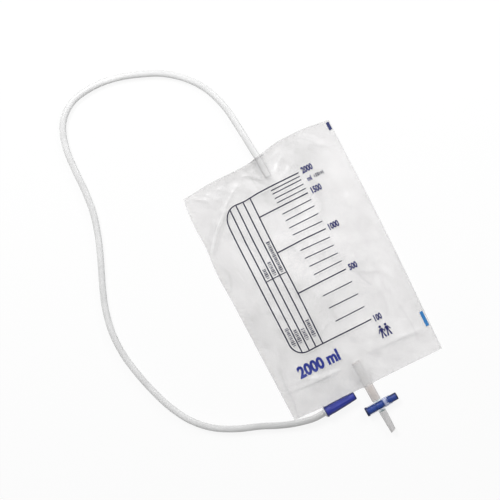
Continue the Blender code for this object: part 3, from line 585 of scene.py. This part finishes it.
def floor_paint():
    """White ground that keeps a part of the shadow that falls on it."""
    paint = Paint("studio_ground", (0.9, 0.9, 0.9), 0.8)
    path = "ShaderNodeLightPath"
    # Camera, glossy and transmission rays see mostly its own glow
    seen = paint.add(path, {}, out=0) + paint.add(path, {}, out=3) + paint.add(path, {}, out=6)
    glow = paint.add("ShaderNodeEmission", {}, (1, 1, 1, 1), 1.0)
    lit = Socket(paint, paint.shader.outputs[0])
    share = seen.maths("MINIMUM", seen, 1.0) * FLOOR_GLOW
    mixed = paint.add("ShaderNodeMixShader", {}, share, lit, glow)
    paint.feed(paint.tree.nodes["Material Output"].inputs[0], mixed)
    return paint.material


def light(name, place, size, power):
    """A round lamp that shines on the frame's origin."""
    data = bpy.data.lights.new(name, "AREA")
    data.shape = "DISK"
    data.size = size
    data.energy = power
    lamp = bpy.data.objects.new(name, data)
    lamp.location = place
    lamp.rotation_euler = (-Vector(place)).to_track_quat("-Z", "Y").to_euler()
    bpy.context.scene.collection.objects.link(lamp)


def make_studio():
    """Camera, lamps, even sky and white ground."""
    scene = bpy.context.scene
    data = bpy.data.cameras.new("camera")
    data.lens = LENS
    data.sensor_width = SENSOR
    camera = bpy.data.objects.new("camera", data)
    camera.location = (*VIEW_CENTRE, VIEW_WIDTH * LENS / SENSOR)
    camera.rotation_euler = (0, 0, VIEW_TURN)
    scene.collection.objects.link(camera)
    scene.camera = camera
    scene.view_settings.view_transform = "Standard"
    light("key_light", KEY_PLACE, KEY_SIZE, KEY_POWER)
    light("fill_light", FILL_PLACE, FILL_SIZE, FILL_POWER)
    world = bpy.data.worlds.new("studio")
    world.use_nodes = True
    scene.world = world
    nodes, links = world.node_tree.nodes, world.node_tree.links
    path = nodes.new("ShaderNodeLightPath")
    background = nodes["Background"]
    background.inputs["Color"].default_value = (1, 1, 1, 1)
    strength = nodes.new("ShaderNodeMapRange")
    strength.inputs["To Min"].default_value = WORLD_LIGHT
    strength.inputs["To Max"].default_value = 1.0
    links.new(path.outputs["Is Camera Ray"], strength.inputs["Value"])
    links.new(strength.outputs[0], background.inputs["Strength"])
    half = FLOOR_SIZE / 2
    ground = bpy.data.meshes.new("ground")
    corners = [(-half, -half), (half, -half), (half, half), (-half, half)]
    ground.from_pydata([(x, y, FLOOR_LEVEL) for x, y in corners], [], [(0, 1, 2, 3)])
    ground.materials.append(floor_paint())
    floor = bpy.data.objects.new("ground", ground)
    scene.collection.objects.link(floor)


def piece(name, points, faces, material, body, sharp_degrees=40, replaces=()):
    """A finished mesh that rides on its body."""
    mesh = bpy.data.meshes.new(name)
    mesh.from_pydata([tuple(point) for point in points], [], faces)
    return finished(name, mesh, material, body, sharp_degrees, replaces)


def finished(name, mesh, material, body, sharp_degrees=40, replaces=()):
    """A mesh as a smooth-shaded piece with its material, body and the nodes that it stands for."""
    mesh.validate()
    mesh.shade_smooth()
    mesh.set_sharp_from_angle(angle=math.radians(sharp_degrees))
    mesh.materials.clear()
    mesh.materials.append(material)
    made = bpy.data.objects.new(name, mesh)
    bpy.context.scene.collection.objects.link(made)
    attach(made, body)
    if replaces:
        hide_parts(*replaces)
    return made


def smooth(share):
    """A share that eases in from 0 and out to 1."""
    share = np.clip(share, 0.0, 1.0)
    return share * share * (3 - 2 * share)


def tree_of(mesh):
    return BVHTree.FromPolygons([v.co for v in mesh.vertices], [p.vertices[:] for p in mesh.polygons])


def drop(tree, x, y):
    """Height of a surface under a point, looking down, or None."""
    hit = tree.ray_cast(Vector((x, y, FAR)), Vector((0, 0, -1)))[0]
    return hit.z if hit else None


def edge_at(tree, start, direction, axis):
    """Where a level ray meets the rim of the back film."""
    hit = tree.ray_cast(Vector(start), Vector(direction))[0]
    return hit[axis] if hit else math.nan


def surface_under(tree, x, y, missing):
    """Heights of a surface under a grid's points, and a given height where it has none."""
    heights = [drop(tree, px, py) for px, py in zip(x.ravel(), y.ravel())]
    return np.array([missing if height is None else height for height in heights]).reshape(x.shape)


def soft_max(first, second, ease):
    """The higher of two heights, eased where they meet."""
    return (first + second + np.hypot(first - second, ease)) / 2


def blurred(values, reach):
    """A soft average along both directions of a grid."""
    offsets = np.arange(-3 * reach, 3 * reach + 1)
    weights = np.exp(-0.5 * (offsets / reach) ** 2)
    weights /= weights.sum()
    for axis in (0, 1):
        spread = [(3 * reach, 3 * reach) if index == axis else (0, 0) for index in (0, 1)]
        padded = np.pad(values, spread, mode="edge")
        count = values.shape[axis]
        parts = [weight * np.take(padded, range(i, i + count), axis) for i, weight in enumerate(weights)]
        values = sum(parts)
    return values


class Panel:
    """The bag's outline, read from the back film's solid."""

    def __init__(self):
        low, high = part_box("back_film")
        tree = tree_of(NODES["back_film"].data)
        level = FILM / 2
        self.low, self.high = low, high
        self.xs = np.linspace(low.x + LEFT_CLEAR, high.x - RIGHT_CLEAR, OUTLINE_COLUMNS)
        self.ys = np.linspace(low.y + LOW_CLEAR, high.y - TOP_CLEAR, OUTLINE_ROWS)
        self.top = np.array([edge_at(tree, (x, FAR, level), (0, -1, 0), 1) for x in self.xs])
        self.bottom = np.array([edge_at(tree, (x, -FAR, level), (0, 1, 0), 1) for x in self.xs])
        self.left = np.array([edge_at(tree, (-FAR, y, level), (1, 0, 0), 0) for y in self.ys])
        self.right = np.array([edge_at(tree, (FAR, y, level), (-1, 0, 0), 0) for y in self.ys])

    def rows_at(self, x):
        return np.interp(x, self.xs, self.bottom), np.interp(x, self.xs, self.top)

    def sides_at(self, y):
        return np.interp(y, self.ys, self.left), np.interp(y, self.ys, self.right)

    def grid(self, columns, rows):
        """Points spread evenly between the four sides."""
        across, up = np.meshgrid(np.linspace(0, 1, columns), np.linspace(0, 1, rows))
        x = self.low.x + (self.high.x - self.low.x) * across
        for _ in range(3):
            bottom, top = self.rows_at(x)
            y = bottom + (top - bottom) * up
            left, right = self.sides_at(y)
            x = left + (right - left) * across
        return x, y

    def depth(self, x, y):
        """Distance in from the nearest edge."""
        bottom, top = self.rows_at(x)
        left, right = self.sides_at(y)
        return np.minimum.reduce([x - left, right - x, y - bottom, top - y])


def tube_cover(x, y, middle, radius, height, low, high):
    """Height of a film wrapped tight over a straight tube, far below the ground elsewhere, and how far
    each point lies to the tube's side."""
    away = np.abs((x - middle[0]) * math.cos(TUBE_LEAN) + (y - middle[1]) * math.sin(TUBE_LEAN))
    along = (y > low) & (y < high)
    over = np.sqrt(np.maximum(radius**2 - away**2, 0))
    beyond = np.maximum(away - radius, 0)
    return np.where(along & (beyond < COVER_SKIRT), height + over - beyond * COVER_SLOPE, -FAR), away


def crease(x, y, start, end, height, half_width, bend):
    """A ridge, or a groove below 0, along a bent line that fades towards both of its ends."""
    start = np.array(start) * MM + PRINT_PLACE
    run = np.array(end) * MM + PRINT_PLACE - start
    length = math.hypot(*run)
    along = ((x - start[0]) * run[0] + (y - start[1]) * run[1]) / length**2
    across = ((y - start[1]) * run[0] - (x - start[0]) * run[1]) / length
    across = across - bend * MM * 4 * along * (1 - along)
    fade = smooth(along / CREASE_FADE + CREASE_START) * smooth((1 - along) / CREASE_FADE + CREASE_START)
    width = half_width * MM * np.where(across > 0, *CREASE_SIDES)
    return CREASE_GAIN * height * MM * fade / np.cosh(np.clip(across / width, -20, 20)) ** 2


def ripples(x, y, draws, count, shortest, longest):
    """Soft random waves whose crests are sharper than their troughs, mostly between -1 and 1."""
    total = np.zeros_like(x)
    for _ in range(count):
        turn = draws.uniform(0, math.tau)
        length = draws.uniform(shortest, longest) * MM
        phase = draws.uniform(0, math.tau)
        bend = draws.uniform(0.3, 1.2)
        drift = draws.uniform(0, math.tau)
        along = (x * math.cos(turn) + y * math.sin(turn)) / length
        side = (y * math.cos(turn) - x * math.sin(turn)) / length
        wave = np.sin(math.tau * along + phase + bend * np.sin(2 * side + drift))
        total += (1 - np.abs(wave)) * 2 - CREST_MEAN
    return total / math.sqrt(count)


def film_sheet(name, x, y, under, material, node):
    """A closed film: its underside is given, and its upper face lies one film above."""
    rows, columns = x.shape
    lower = np.stack([x, y, under], -1).reshape(-1, 3)
    upper = lower + (0, 0, FILM)
    points = np.concatenate([lower, upper])
    index = np.arange(rows * columns).reshape(rows, columns)
    a, b, c, d = index[:-1, :-1], index[:-1, 1:], index[1:, 1:], index[1:, :-1]
    up = np.stack([a, b, c, d], -1).reshape(-1, 4)
    faces = [*(up + rows * columns).tolist(), *up[:, ::-1].tolist()]
    ring = [*index[0, :-1], *index[:-1, -1], *index[-1, :0:-1], *index[:0:-1, 0]]
    for first, second in zip(ring, ring[1:] + ring[:1]):
        faces.append((int(first), int(second), int(second) + rows * columns, int(first) + rows * columns))
    sheet = piece(name, points, faces, material, "bag", 60, (node,))
    # A milky film passes the light on, so nothing under it lies in its shade
    sheet.visible_shadow = False
    return sheet


def edge_lift(panel, x, y):
    """How far the free edge of both films stands off the ground, in the same slow waves for both."""
    draws = np.random.default_rng(EDGE_SEED)
    depth = panel.depth(x, y)
    wave = np.zeros_like(x)
    for _ in range(EDGE_WAVES):
        length = draws.uniform(*EDGE_WAVE_LENGTHS) * MM
        wave += np.sin(math.tau * (x * draws.uniform(-1, 1) + y) / length + draws.uniform(0, math.tau))
    near_tubes = np.exp(-((x / EDGE_STILL) ** 2))
    lift = np.clip(wave / EDGE_WAVES_FULL, 0, 1) * (1 - smooth(depth / EDGE_LIFT_BAND))
    return lift * (1 - near_tubes) * EDGE_LIFT


def tube_covers(x, y):
    """Heights of the film over the outlet and over the inlet tube, and 1 where they hold it taut."""
    low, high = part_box("outlet_tube")
    middle = ((low.x + high.x) / 2, (low.y + high.y) / 2)
    radius = (high.z - low.z) / 2 + DRAPE_GAP
    outlet, outlet_away = tube_cover(
        x, y, middle, radius, (low.z + high.z) / 2, -FAR, high.y + COVER_PAST_END
    )
    inner = from_panel(INLET_INNER_END)
    radius = INLET_RADIUS + 2 * DRAPE_GAP + FILM
    inlet, inlet_away = tube_cover(x, y, inner, radius, inner.z, inner.y - COVER_PAST_END, FAR)
    beside_outlet = 1 - smooth((outlet_away - OUTLET_TAUT[0]) / OUTLET_TAUT[1])
    beside_inlet = 1 - smooth((inlet_away - INLET_TAUT[0]) / INLET_TAUT[1])
    taut = np.maximum(
        np.where(y < high.y + TAUT_PAST_END, beside_outlet, 0),
        np.where(y > inner.y - TAUT_PAST_END, beside_inlet, 0),
    )
    return outlet, inlet, taut


def front_film_underside(panel, x, y):
    """Heights of the front film: waves, creases, the flat weld, and tents over the tubes and flap."""
    solid = tree_of(NODES["front_film"].data)
    flat = FILM + WELD_GAP
    read_y = PANEL_PLACE.y + (y - PANEL_PLACE.y) * READ_SHARE
    base = blurred(surface_under(solid, x * READ_SHARE, read_y, flat + FILM) - FILM, BASE_BLUR)
    outlet, inlet, taut = tube_covers(x, y)
    depth = panel.depth(x, y)
    weld = 1 - smooth((depth - WELD_BAND) / WELD_SLOPE)
    draws = np.random.default_rng(WAVE_SEED)
    creases = sum(crease(x, y, *values) for values in CREASES)
    waves = sum(ripples(x, y, draws, *sizes) * height for *sizes, height in WAVES)
    loose = (1 - taut) * (1 - WELD_FLATTENS * weld)
    under = base + (creases + waves) * loose * smooth(depth / EDGE_FADE + EDGE_FADE_START)
    ridge = np.exp(-(((depth - WELD_BAND) / WELD_RIDGE_HALF) ** 2)) * WELD_RIDGE
    kept = np.maximum(creases, 0) * weld * WELD_KEEPS
    under = under + ((flat - under) * weld + ridge + kept) * (1 - taut)
    under = soft_max(under, flat, CONTACT_EASE)
    for cover, ease in ((outlet, OUTLET_EASE), (inlet, INLET_EASE)):
        under = np.where(cover > 0, soft_max(under, cover, ease), under)
    flap = tree_of(NODES["check_valve_front"].data)
    raised = np.maximum(surface_under(flap, x, y, -FAR) + FLAP_GAP - under, 0)
    return under + np.maximum(raised, blurred(raised, FLAP_BLUR)) + edge_lift(panel, x, y)


def make_films(panel):
    """Front and back film, welded round the edge."""
    x, y = panel.grid(COLUMNS, ROWS)
    fold = (*(from_print(*end) for end in SHARP_FOLD), SHARP_FOLD_BEND)
    milky = film_paint("milky_film", (0.785, 0.775, 0.775), 0.27, fold)
    under = front_film_underside(panel, x, y)
    front = film_sheet("front_film_sheet", x, y, under, milky, "front_film")
    x, y = panel.grid(BACK_COLUMNS, BACK_ROWS)
    milky = film_paint("milky_back_film", (0.775, 0.765, 0.765), 0.25)
    film_sheet("back_film_sheet", x, y, edge_lift(panel, x, y), milky, "back_film")
    return front


def make_flaps():
    """The two thin flaps of the non-return valve, seen faintly through the front film."""
    paint = film_paint("flap_film", (0.95, 0.95, 0.95), 0.015)
    for node, (columns, rows) in FLAP_GRIDS.items():
        data = NODES[node].data
        low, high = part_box(node)
        points = np.array([vert.co[:] for vert in data.vertices])
        top_band = points[points[:, 1] > high.y - FLAP_TOP_BAND]
        end_band = points[points[:, 1] < low.y + FLAP_END_BAND]
        top_left = top_band[top_band[:, 0].argmin()]
        top_right = top_band[top_band[:, 0].argmax()]
        end_left, end_right = end_band[:, 0].min(), end_band[:, 0].max()
        across, up = np.meshgrid(np.linspace(0, 1, columns), np.linspace(0, 1, rows))
        left = end_left + (top_left[0] - end_left) * up
        right = end_right + (top_right[0] - end_right) * up
        x = left + (right - left) * across
        top = np.interp(x, [low.x, high.x], [top_left[1], top_right[1]])
        y = low.y + (top - low.y) * up
        heights = surface_under(tree_of(data), x, y, math.nan) - FILM
        heights = np.where(np.isnan(heights), np.nanmin(heights), heights)
        film_sheet(node + "_film", x, y, heights, paint, node)


def route_points():
    """Points at even spacing on a smooth curve through the route, carried on to the connector's flange."""
    knots = [from_panel(point) for point in INLET_ROUTE]
    axis = Vector((math.cos(CONNECTOR_TURN), math.sin(CONNECTOR_TURN), 0))
    knots += [CONNECTOR_PLACE - axis * (TUBE_END_GAP + back) for back in (STRAIGHT_LEAD, 0)]
    knots = [knots[0] * 2 - knots[1]] + knots + [knots[-1] * 2 - knots[-2]]
    fine = []
    for a, b, c, d in zip(knots, knots[1:], knots[2:], knots[3:]):
        bend = 2 * a - 5 * b + 4 * c - d
        twist = 3 * b - a - 3 * c + d
        for index in range(ROUTE_STEPS):
            t = index / ROUTE_STEPS
            fine.append(0.5 * (2 * b + (c - a) * t + bend * t**2 + twist * t**3))
    fine.append(knots[-2])
    fine = np.array(fine)
    lengths = np.concatenate([[0], np.cumsum(np.linalg.norm(np.diff(fine, axis=0), axis=1))])
    targets = np.linspace(0, lengths[-1], round(lengths[-1] / ROUTE_SPACING) + 1)
    return np.stack([np.interp(targets, lengths, fine[:, axis]) for axis in range(3)], -1)


def hose(name, path, outer, bore, sides, material, node):
    """A hollow tube along a path, with plain cut ends."""
    ahead = np.gradient(path, axis=0)
    ahead /= np.linalg.norm(ahead, axis=1)[:, None]
    side = np.cross(ahead, (0, 0, 1))
    side /= np.linalg.norm(side, axis=1)[:, None]
    lift = np.cross(side, ahead)
    turns = np.linspace(0, math.tau, sides, endpoint=False)
    count = len(path)
    rings = []
    for radius in (outer, bore):
        ring = side[:, None] * np.cos(turns)[None, :, None] + lift[:, None] * np.sin(turns)[None, :, None]
        rings.append(path[:, None] + ring * radius)
    points = np.concatenate(rings).reshape(-1, 3)
    faces = []
    inside = count * sides
    for i in range(count - 1):
        for j in range(sides):
            a, b = i * sides + j, i * sides + (j + 1) % sides
            faces.append((a, b, b + sides, a + sides))
            faces.append((inside + a, inside + a + sides, inside + b + sides, inside + b))
    for i, flip in ((0, False), (count - 1, True)):
        for j in range(sides):
            a, b = i * sides + j, i * sides + (j + 1) % sides
            face = (a, inside + a, inside + b, b)
            faces.append(face[::-1] if flip else face)
    return piece(name, points, faces, material, "bag", 40, (node,))


def refined(node, name, material, body, round_edge=EDGE_ROUND):
    """A moulded piece made from its solid, with its hard edges softly rounded."""
    bm = bmesh.new()
    bm.from_mesh(NODES[node].data)
    bmesh.ops.remove_doubles(bm, verts=bm.verts, dist=0.002 * MM)
    bmesh.ops.dissolve_limit(bm, angle_limit=math.radians(0.5), verts=bm.verts, edges=bm.edges)
    hard = [edge for edge in bm.edges if edge.is_manifold and edge.calc_face_angle() > HARD_EDGE]
    if round_edge:
        bmesh.ops.bevel(
            bm, geom=hard, offset=round_edge, segments=2, profile=0.5, affect="EDGES", clamp_overlap=True
        )
    bmesh.ops.triangulate(bm, faces=[face for face in bm.faces if len(face.verts) > 4])
    mesh = bpy.data.meshes.new(name)
    bm.to_mesh(mesh)
    bm.free()
    return finished(name, mesh, material, body, 35, (node,))


class Print:
    """Ink that follows the front film."""

    def __init__(self, film):
        self.tree = tree_of(film.data)

    def height(self, x, y):
        found = drop(self.tree, x, y)
        return (2 * FILM if found is None else found) + INK_LIFT

    def ribbon(self, line, width):
        """Points and faces of a thin band along a line of print millimetres."""
        line = np.array(line, float) * MM + PRINT_PLACE
        lengths = np.concatenate([[0], np.cumsum(np.linalg.norm(np.diff(line, axis=0), axis=1))])
        count = max(2, int(lengths[-1] / INK_STEP) + 1)
        targets = np.linspace(0, lengths[-1], count)
        middle = np.stack([np.interp(targets, lengths, line[:, axis]) for axis in (0, 1)], -1)
        ahead = np.gradient(middle, axis=0)
        ahead /= np.linalg.norm(ahead, axis=1)[:, None]
        side = np.stack([-ahead[:, 1], ahead[:, 0]], -1) * width / 2
        points = []
        for left, right in zip(middle + side, middle - side):
            for x, y in (left, right):
                z = self.height(x, y)
                points += [(x, y, z), (x, y, z + INK_THICK)]
        faces = [(0, 1, 3, 2), (4 * count - 4, 4 * count - 2, 4 * count - 1, 4 * count - 3)]
        for i in range(count - 1):
            a = 4 * i
            faces += [(a, a + 4, a + 5, a + 1), (a + 2, a + 3, a + 7, a + 6)]
            faces += [(a + 1, a + 5, a + 7, a + 3), (a, a + 2, a + 6, a + 4)]
        return points, faces

    def lines(self, name, rows, material, slot=None):
        """One piece from many ribbons, each a line and its width."""
        points, faces = [], []
        for line, width in rows:
            more, sides = self.ribbon(line, width)
            faces += [tuple(corner + len(points) for corner in side) for side in sides]
            points += more
        return piece(name, points, faces, material, "bag", 60)

    def lettering(self, name, rows, material):
        """Plain numerals: text, left end, baseline, height, width share and extra weight, all draped."""
        merged = bmesh.new()
        for text, left, base, height, narrow, weight in rows:
            curve = bpy.data.curves.new(name, "FONT")
            curve.body = text
            curve.size = height * MM / CAPITAL_SHARE
            curve.offset = weight * MM
            curve.resolution_u = 3
            holder = bpy.data.objects.new(name, curve)
            bpy.context.scene.collection.objects.link(holder)
            bpy.context.view_layer.update()
            shape = bpy.data.meshes.new_from_object(holder)
            bpy.data.objects.remove(holder)
            for vert in shape.vertices:
                vert.co.x = vert.co.x * narrow + left * MM + PRINT_PLACE[0]
                vert.co.y = vert.co.y + base * MM + PRINT_PLACE[1]
            merged.from_mesh(shape)
            bpy.data.meshes.remove(shape)
        bmesh.ops.remove_doubles(merged, verts=merged.verts, dist=0.005 * MM)
        self.drape(merged)
        mesh = bpy.data.meshes.new(name)
        merged.to_mesh(mesh)
        merged.free()
        return finished(name, mesh, material, "bag", 60)

    def drape(self, bm):
        """Cuts flat shapes into small faces, lays them on the film and gives them the ink's thickness."""
        for _ in range(4):
            long = [edge for edge in bm.edges if edge.calc_length() > INK_LONGEST]
            if not long:
                break
            bmesh.ops.subdivide_edges(bm, edges=long, cuts=1)
            bmesh.ops.triangulate(bm, faces=bm.faces)
        grown = bmesh.ops.extrude_face_region(bm, geom=bm.faces[:])
        raised = {item for item in grown["geom"] if isinstance(item, bmesh.types.BMVert)}
        for vert in bm.verts:
            vert.co.z = self.height(vert.co.x, vert.co.y) + (INK_THICK if vert in raised else 0)
        bmesh.ops.recalc_face_normals(bm, faces=bm.faces)

    def shapes(self, name, outlines, material):
        """One piece from flat outlines of print millimetres."""
        bm = bmesh.new()
        for outline in outlines:
            bm.faces.new([bm.verts.new(from_print(x, y)) for x, y in outline])
        bmesh.ops.triangulate(bm, faces=bm.faces)
        self.drape(bm)
        mesh = bpy.data.meshes.new(name)
        bm.to_mesh(mesh)
        bm.free()
        return finished(name, mesh, material, "bag", 60)


def circle(x, y, radius, sides):
    turns = [math.tau * index / sides for index in range(sides)]
    return [(x + radius * math.cos(turn), y + radius * math.sin(turn)) for turn in turns]


def rectangle(left, bottom, right, top):
    return [(left, bottom), (right, bottom), (right, top), (left, top)]


def label_strokes(low, high):
    """Start, end and height of each stroke of a field's bar, uneven as small print is."""
    for index in range(int((high - low) / LABEL_PITCH)):
        start = low + LABEL_PITCH * index
        thick = LABEL_LETTER * (0.7 + 0.15 * (index * 7 % 5))
        tall = LABEL_WIDTH * (0.76 + 0.12 * (index * 3 % 4))
        yield start, start + thick, tall


def make_print(ink):
    """Scale, writing table, plain bars for its field names, numerals, volume, edge marks and figures."""
    line_ink = ink_paint("navy_line_ink", (0.005, 0.005, 0.03))
    number_ink = ink_paint("blue_number_ink", (0.005, 0.007, 0.11))
    rows = [(FRAME_LINE, LINE_WIDTH)]
    rows += [(line, LINE_WIDTH) for line in MAJOR_LINES]
    rows += [([(start, low), (LINE_END, high)], MINOR_WIDTH) for start, low, high in MINOR_LINES]
    ink.lines("print_scale_lines", rows, line_ink)
    columns = [(line, LINE_WIDTH) for line in COLUMN_LINES]
    columns.append((CROSS_LINE, MINOR_WIDTH))
    ink.lines("print_table_lines", columns, line_ink)
    bars = []
    for x, low, high in FIELD_BARS:
        for start, end, tall in label_strokes(low, high):
            bars.append(([(x, start), (x, end)], tall))
    y, left, right = UNIT_BAR
    for start, end, tall in label_strokes(left, right):
        bars.append(([(start, y), (end, y)], tall))
    ink.lines("print_field_labels", bars, ink_paint("grey_label_ink", (0.012, 0.012, 0.045)))
    numerals = [(text, x, y - NUMERAL_HEIGHT / 2, *NUMERAL_SHAPE) for text, x, y in NUMERALS]
    ink.lettering("print_scale_numerals", [*numerals, UNIT], number_ink)
    ink.lettering("print_volume", [VOLUME], ink_paint("blue_volume_ink", (0.016, 0.03, 0.25)))
    for name, (sides, ink_name, colour) in EDGE_MARKS.items():
        ink.shapes(name, [rectangle(*sides)], ink_paint(ink_name, colour))
    ink.shapes("print_figures", walking_figures(), number_ink)


def walking_figures():
    """Outlines of two plain walking figures, each a head, a trunk, two legs and two arms."""
    outlines = []
    for x in FIGURE_PLACES:
        outlines.append(circle(x, FIGURE_HEAD, FIGURE_HEAD_RADIUS, FIGURE_HEAD_SIDES))
        outlines += [[(x + aside, y) for aside, y in part] for part in FIGURE_PARTS]
    return outlines


def make_edges(panel, trace):
    """The film's cut edge, melted into a fine bead, and a grey line painted as the shadow under its lip over
    the inlet tube.
    """
    up = list(zip(panel.left + BEAD_INSET, panel.ys))
    along_top = list(zip(panel.xs, panel.top - BEAD_INSET))
    down = list(zip(panel.right - BEAD_INSET, panel.ys))[::-1]
    back = list(zip(panel.xs, panel.bottom + BEAD_INSET))[::-1]
    outline = (np.array(up + along_top + down + back + up[:1]) - PRINT_PLACE) / MM
    bead = tube_paint("edge_bead", (0.9, 0.9, 0.9), 0.07, 0.35, 0.2)
    trace.lines("edge_bead", [(outline, BEAD_WIDTH)], bead, "film")
    # Painted shadow: a grey line where the film's lip lifts off the inlet tube
    grey = tube_paint("inlet_lip_shadow", (0.4, 0.4, 0.41), 0.75, 0.35, 0.2)
    trace.lines("inlet_lip_shadow", LIP_SHADOW, grey, "film")


def make_tubes():
    """Inlet tube, outlet tube and spout, paler where they lie inside the bag."""
    path = route_points()
    inlet_inside = from_panel(INLET_INSIDE)
    outlet_inside = Vector(VALVE_MIDDLE) + Vector(VALVE_FLOW) * OUTLET_INSIDE_UP
    seen = (inlet_inside, INLET_INSIDE_REACH, (0.99, 0.99, 0.99), 0.5)
    clear = tube_paint("clear_tube", (0.93, 0.93, 0.93), 0.6, 0.3, 0.12, 0.82, seen, CONNECTOR_PLACE)
    tube = hose("inlet_hose", path, INLET_RADIUS, INLET_BORE, INLET_SIDES, clear, "inlet_tube")
    seen = (outlet_inside, OUTLET_INSIDE_REACH, (0.9, 0.89, 0.88), 0.24)
    warm = tube_paint("warm_outlet_tube", (0.85, 0.79, 0.76), 0.6, 0.25, 0.2, 0.72, seen)
    grey = tube_paint("grey_spout", (0.8, 0.79, 0.79), 0.68, 0.25, 0.3, 0.78)
    refined("outlet_tube", "outlet_hose", warm, "bag")
    refined("outlet_spout", "outlet_spout_hose", grey, "bag")
    return tube, path


def make_mouldings():
    """Valve body, plunger with its seals, connector and cap."""
    clear = sleeve_paint()
    ends = (VALVE_ROD, VALVE_MIDDLE, *PLUNGER_END_SHADE)
    blue = moulded_paint("blue_plunger", (0.02, 0.05, 0.27), 0.5, 1, 0.03, 0.22, ends, (0.4, 0.95))
    low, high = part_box("connector_cap")
    axis = (math.cos(CONNECTOR_TURN), math.sin(CONNECTOR_TURN), 0)
    mouth, tip = low.x - CONNECTOR_PLACE.x, high.x - CONNECTOR_PLACE.x
    ends = (axis, CONNECTOR_PLACE, mouth + CAP_MOUTH_SHADE, tip - CAP_TIP_SHADE)
    cap_blue = moulded_paint("blue_cap", (0.025, 0.038, 0.32), 0.5, 1, 0.04, 0.28, ends, (0.35, 0.95))
    pale = moulded_paint("pale_connector", (0.8, 0.82, 0.86), 0.18, 0.75, 0.4)
    black = moulded_paint("navy_rubber", (0.014, 0.034, 0.17), 0.5)
    refined("valve_body", "valve_body_shell", clear, "bag", 0)
    refined("valve_plunger", "valve_plunger_rod", blue, "plunger")
    connector = refined("inlet_connector", "inlet_connector_nose", pale, "bag")
    cap = refined("connector_cap", "connector_cap_shell", cap_blue, "cap")
    for number in (1, 2, 3):
        NODES[f"plunger_seal_{number}"].data.materials[0] = black
    return connector, cap


make_studio()
tube, tube_path = make_tubes()
connector, cap = make_mouldings()
panel = Panel()
front = make_films(panel)
make_flaps()
ink = Print(front)
make_print(ink)
make_edges(panel, ink)
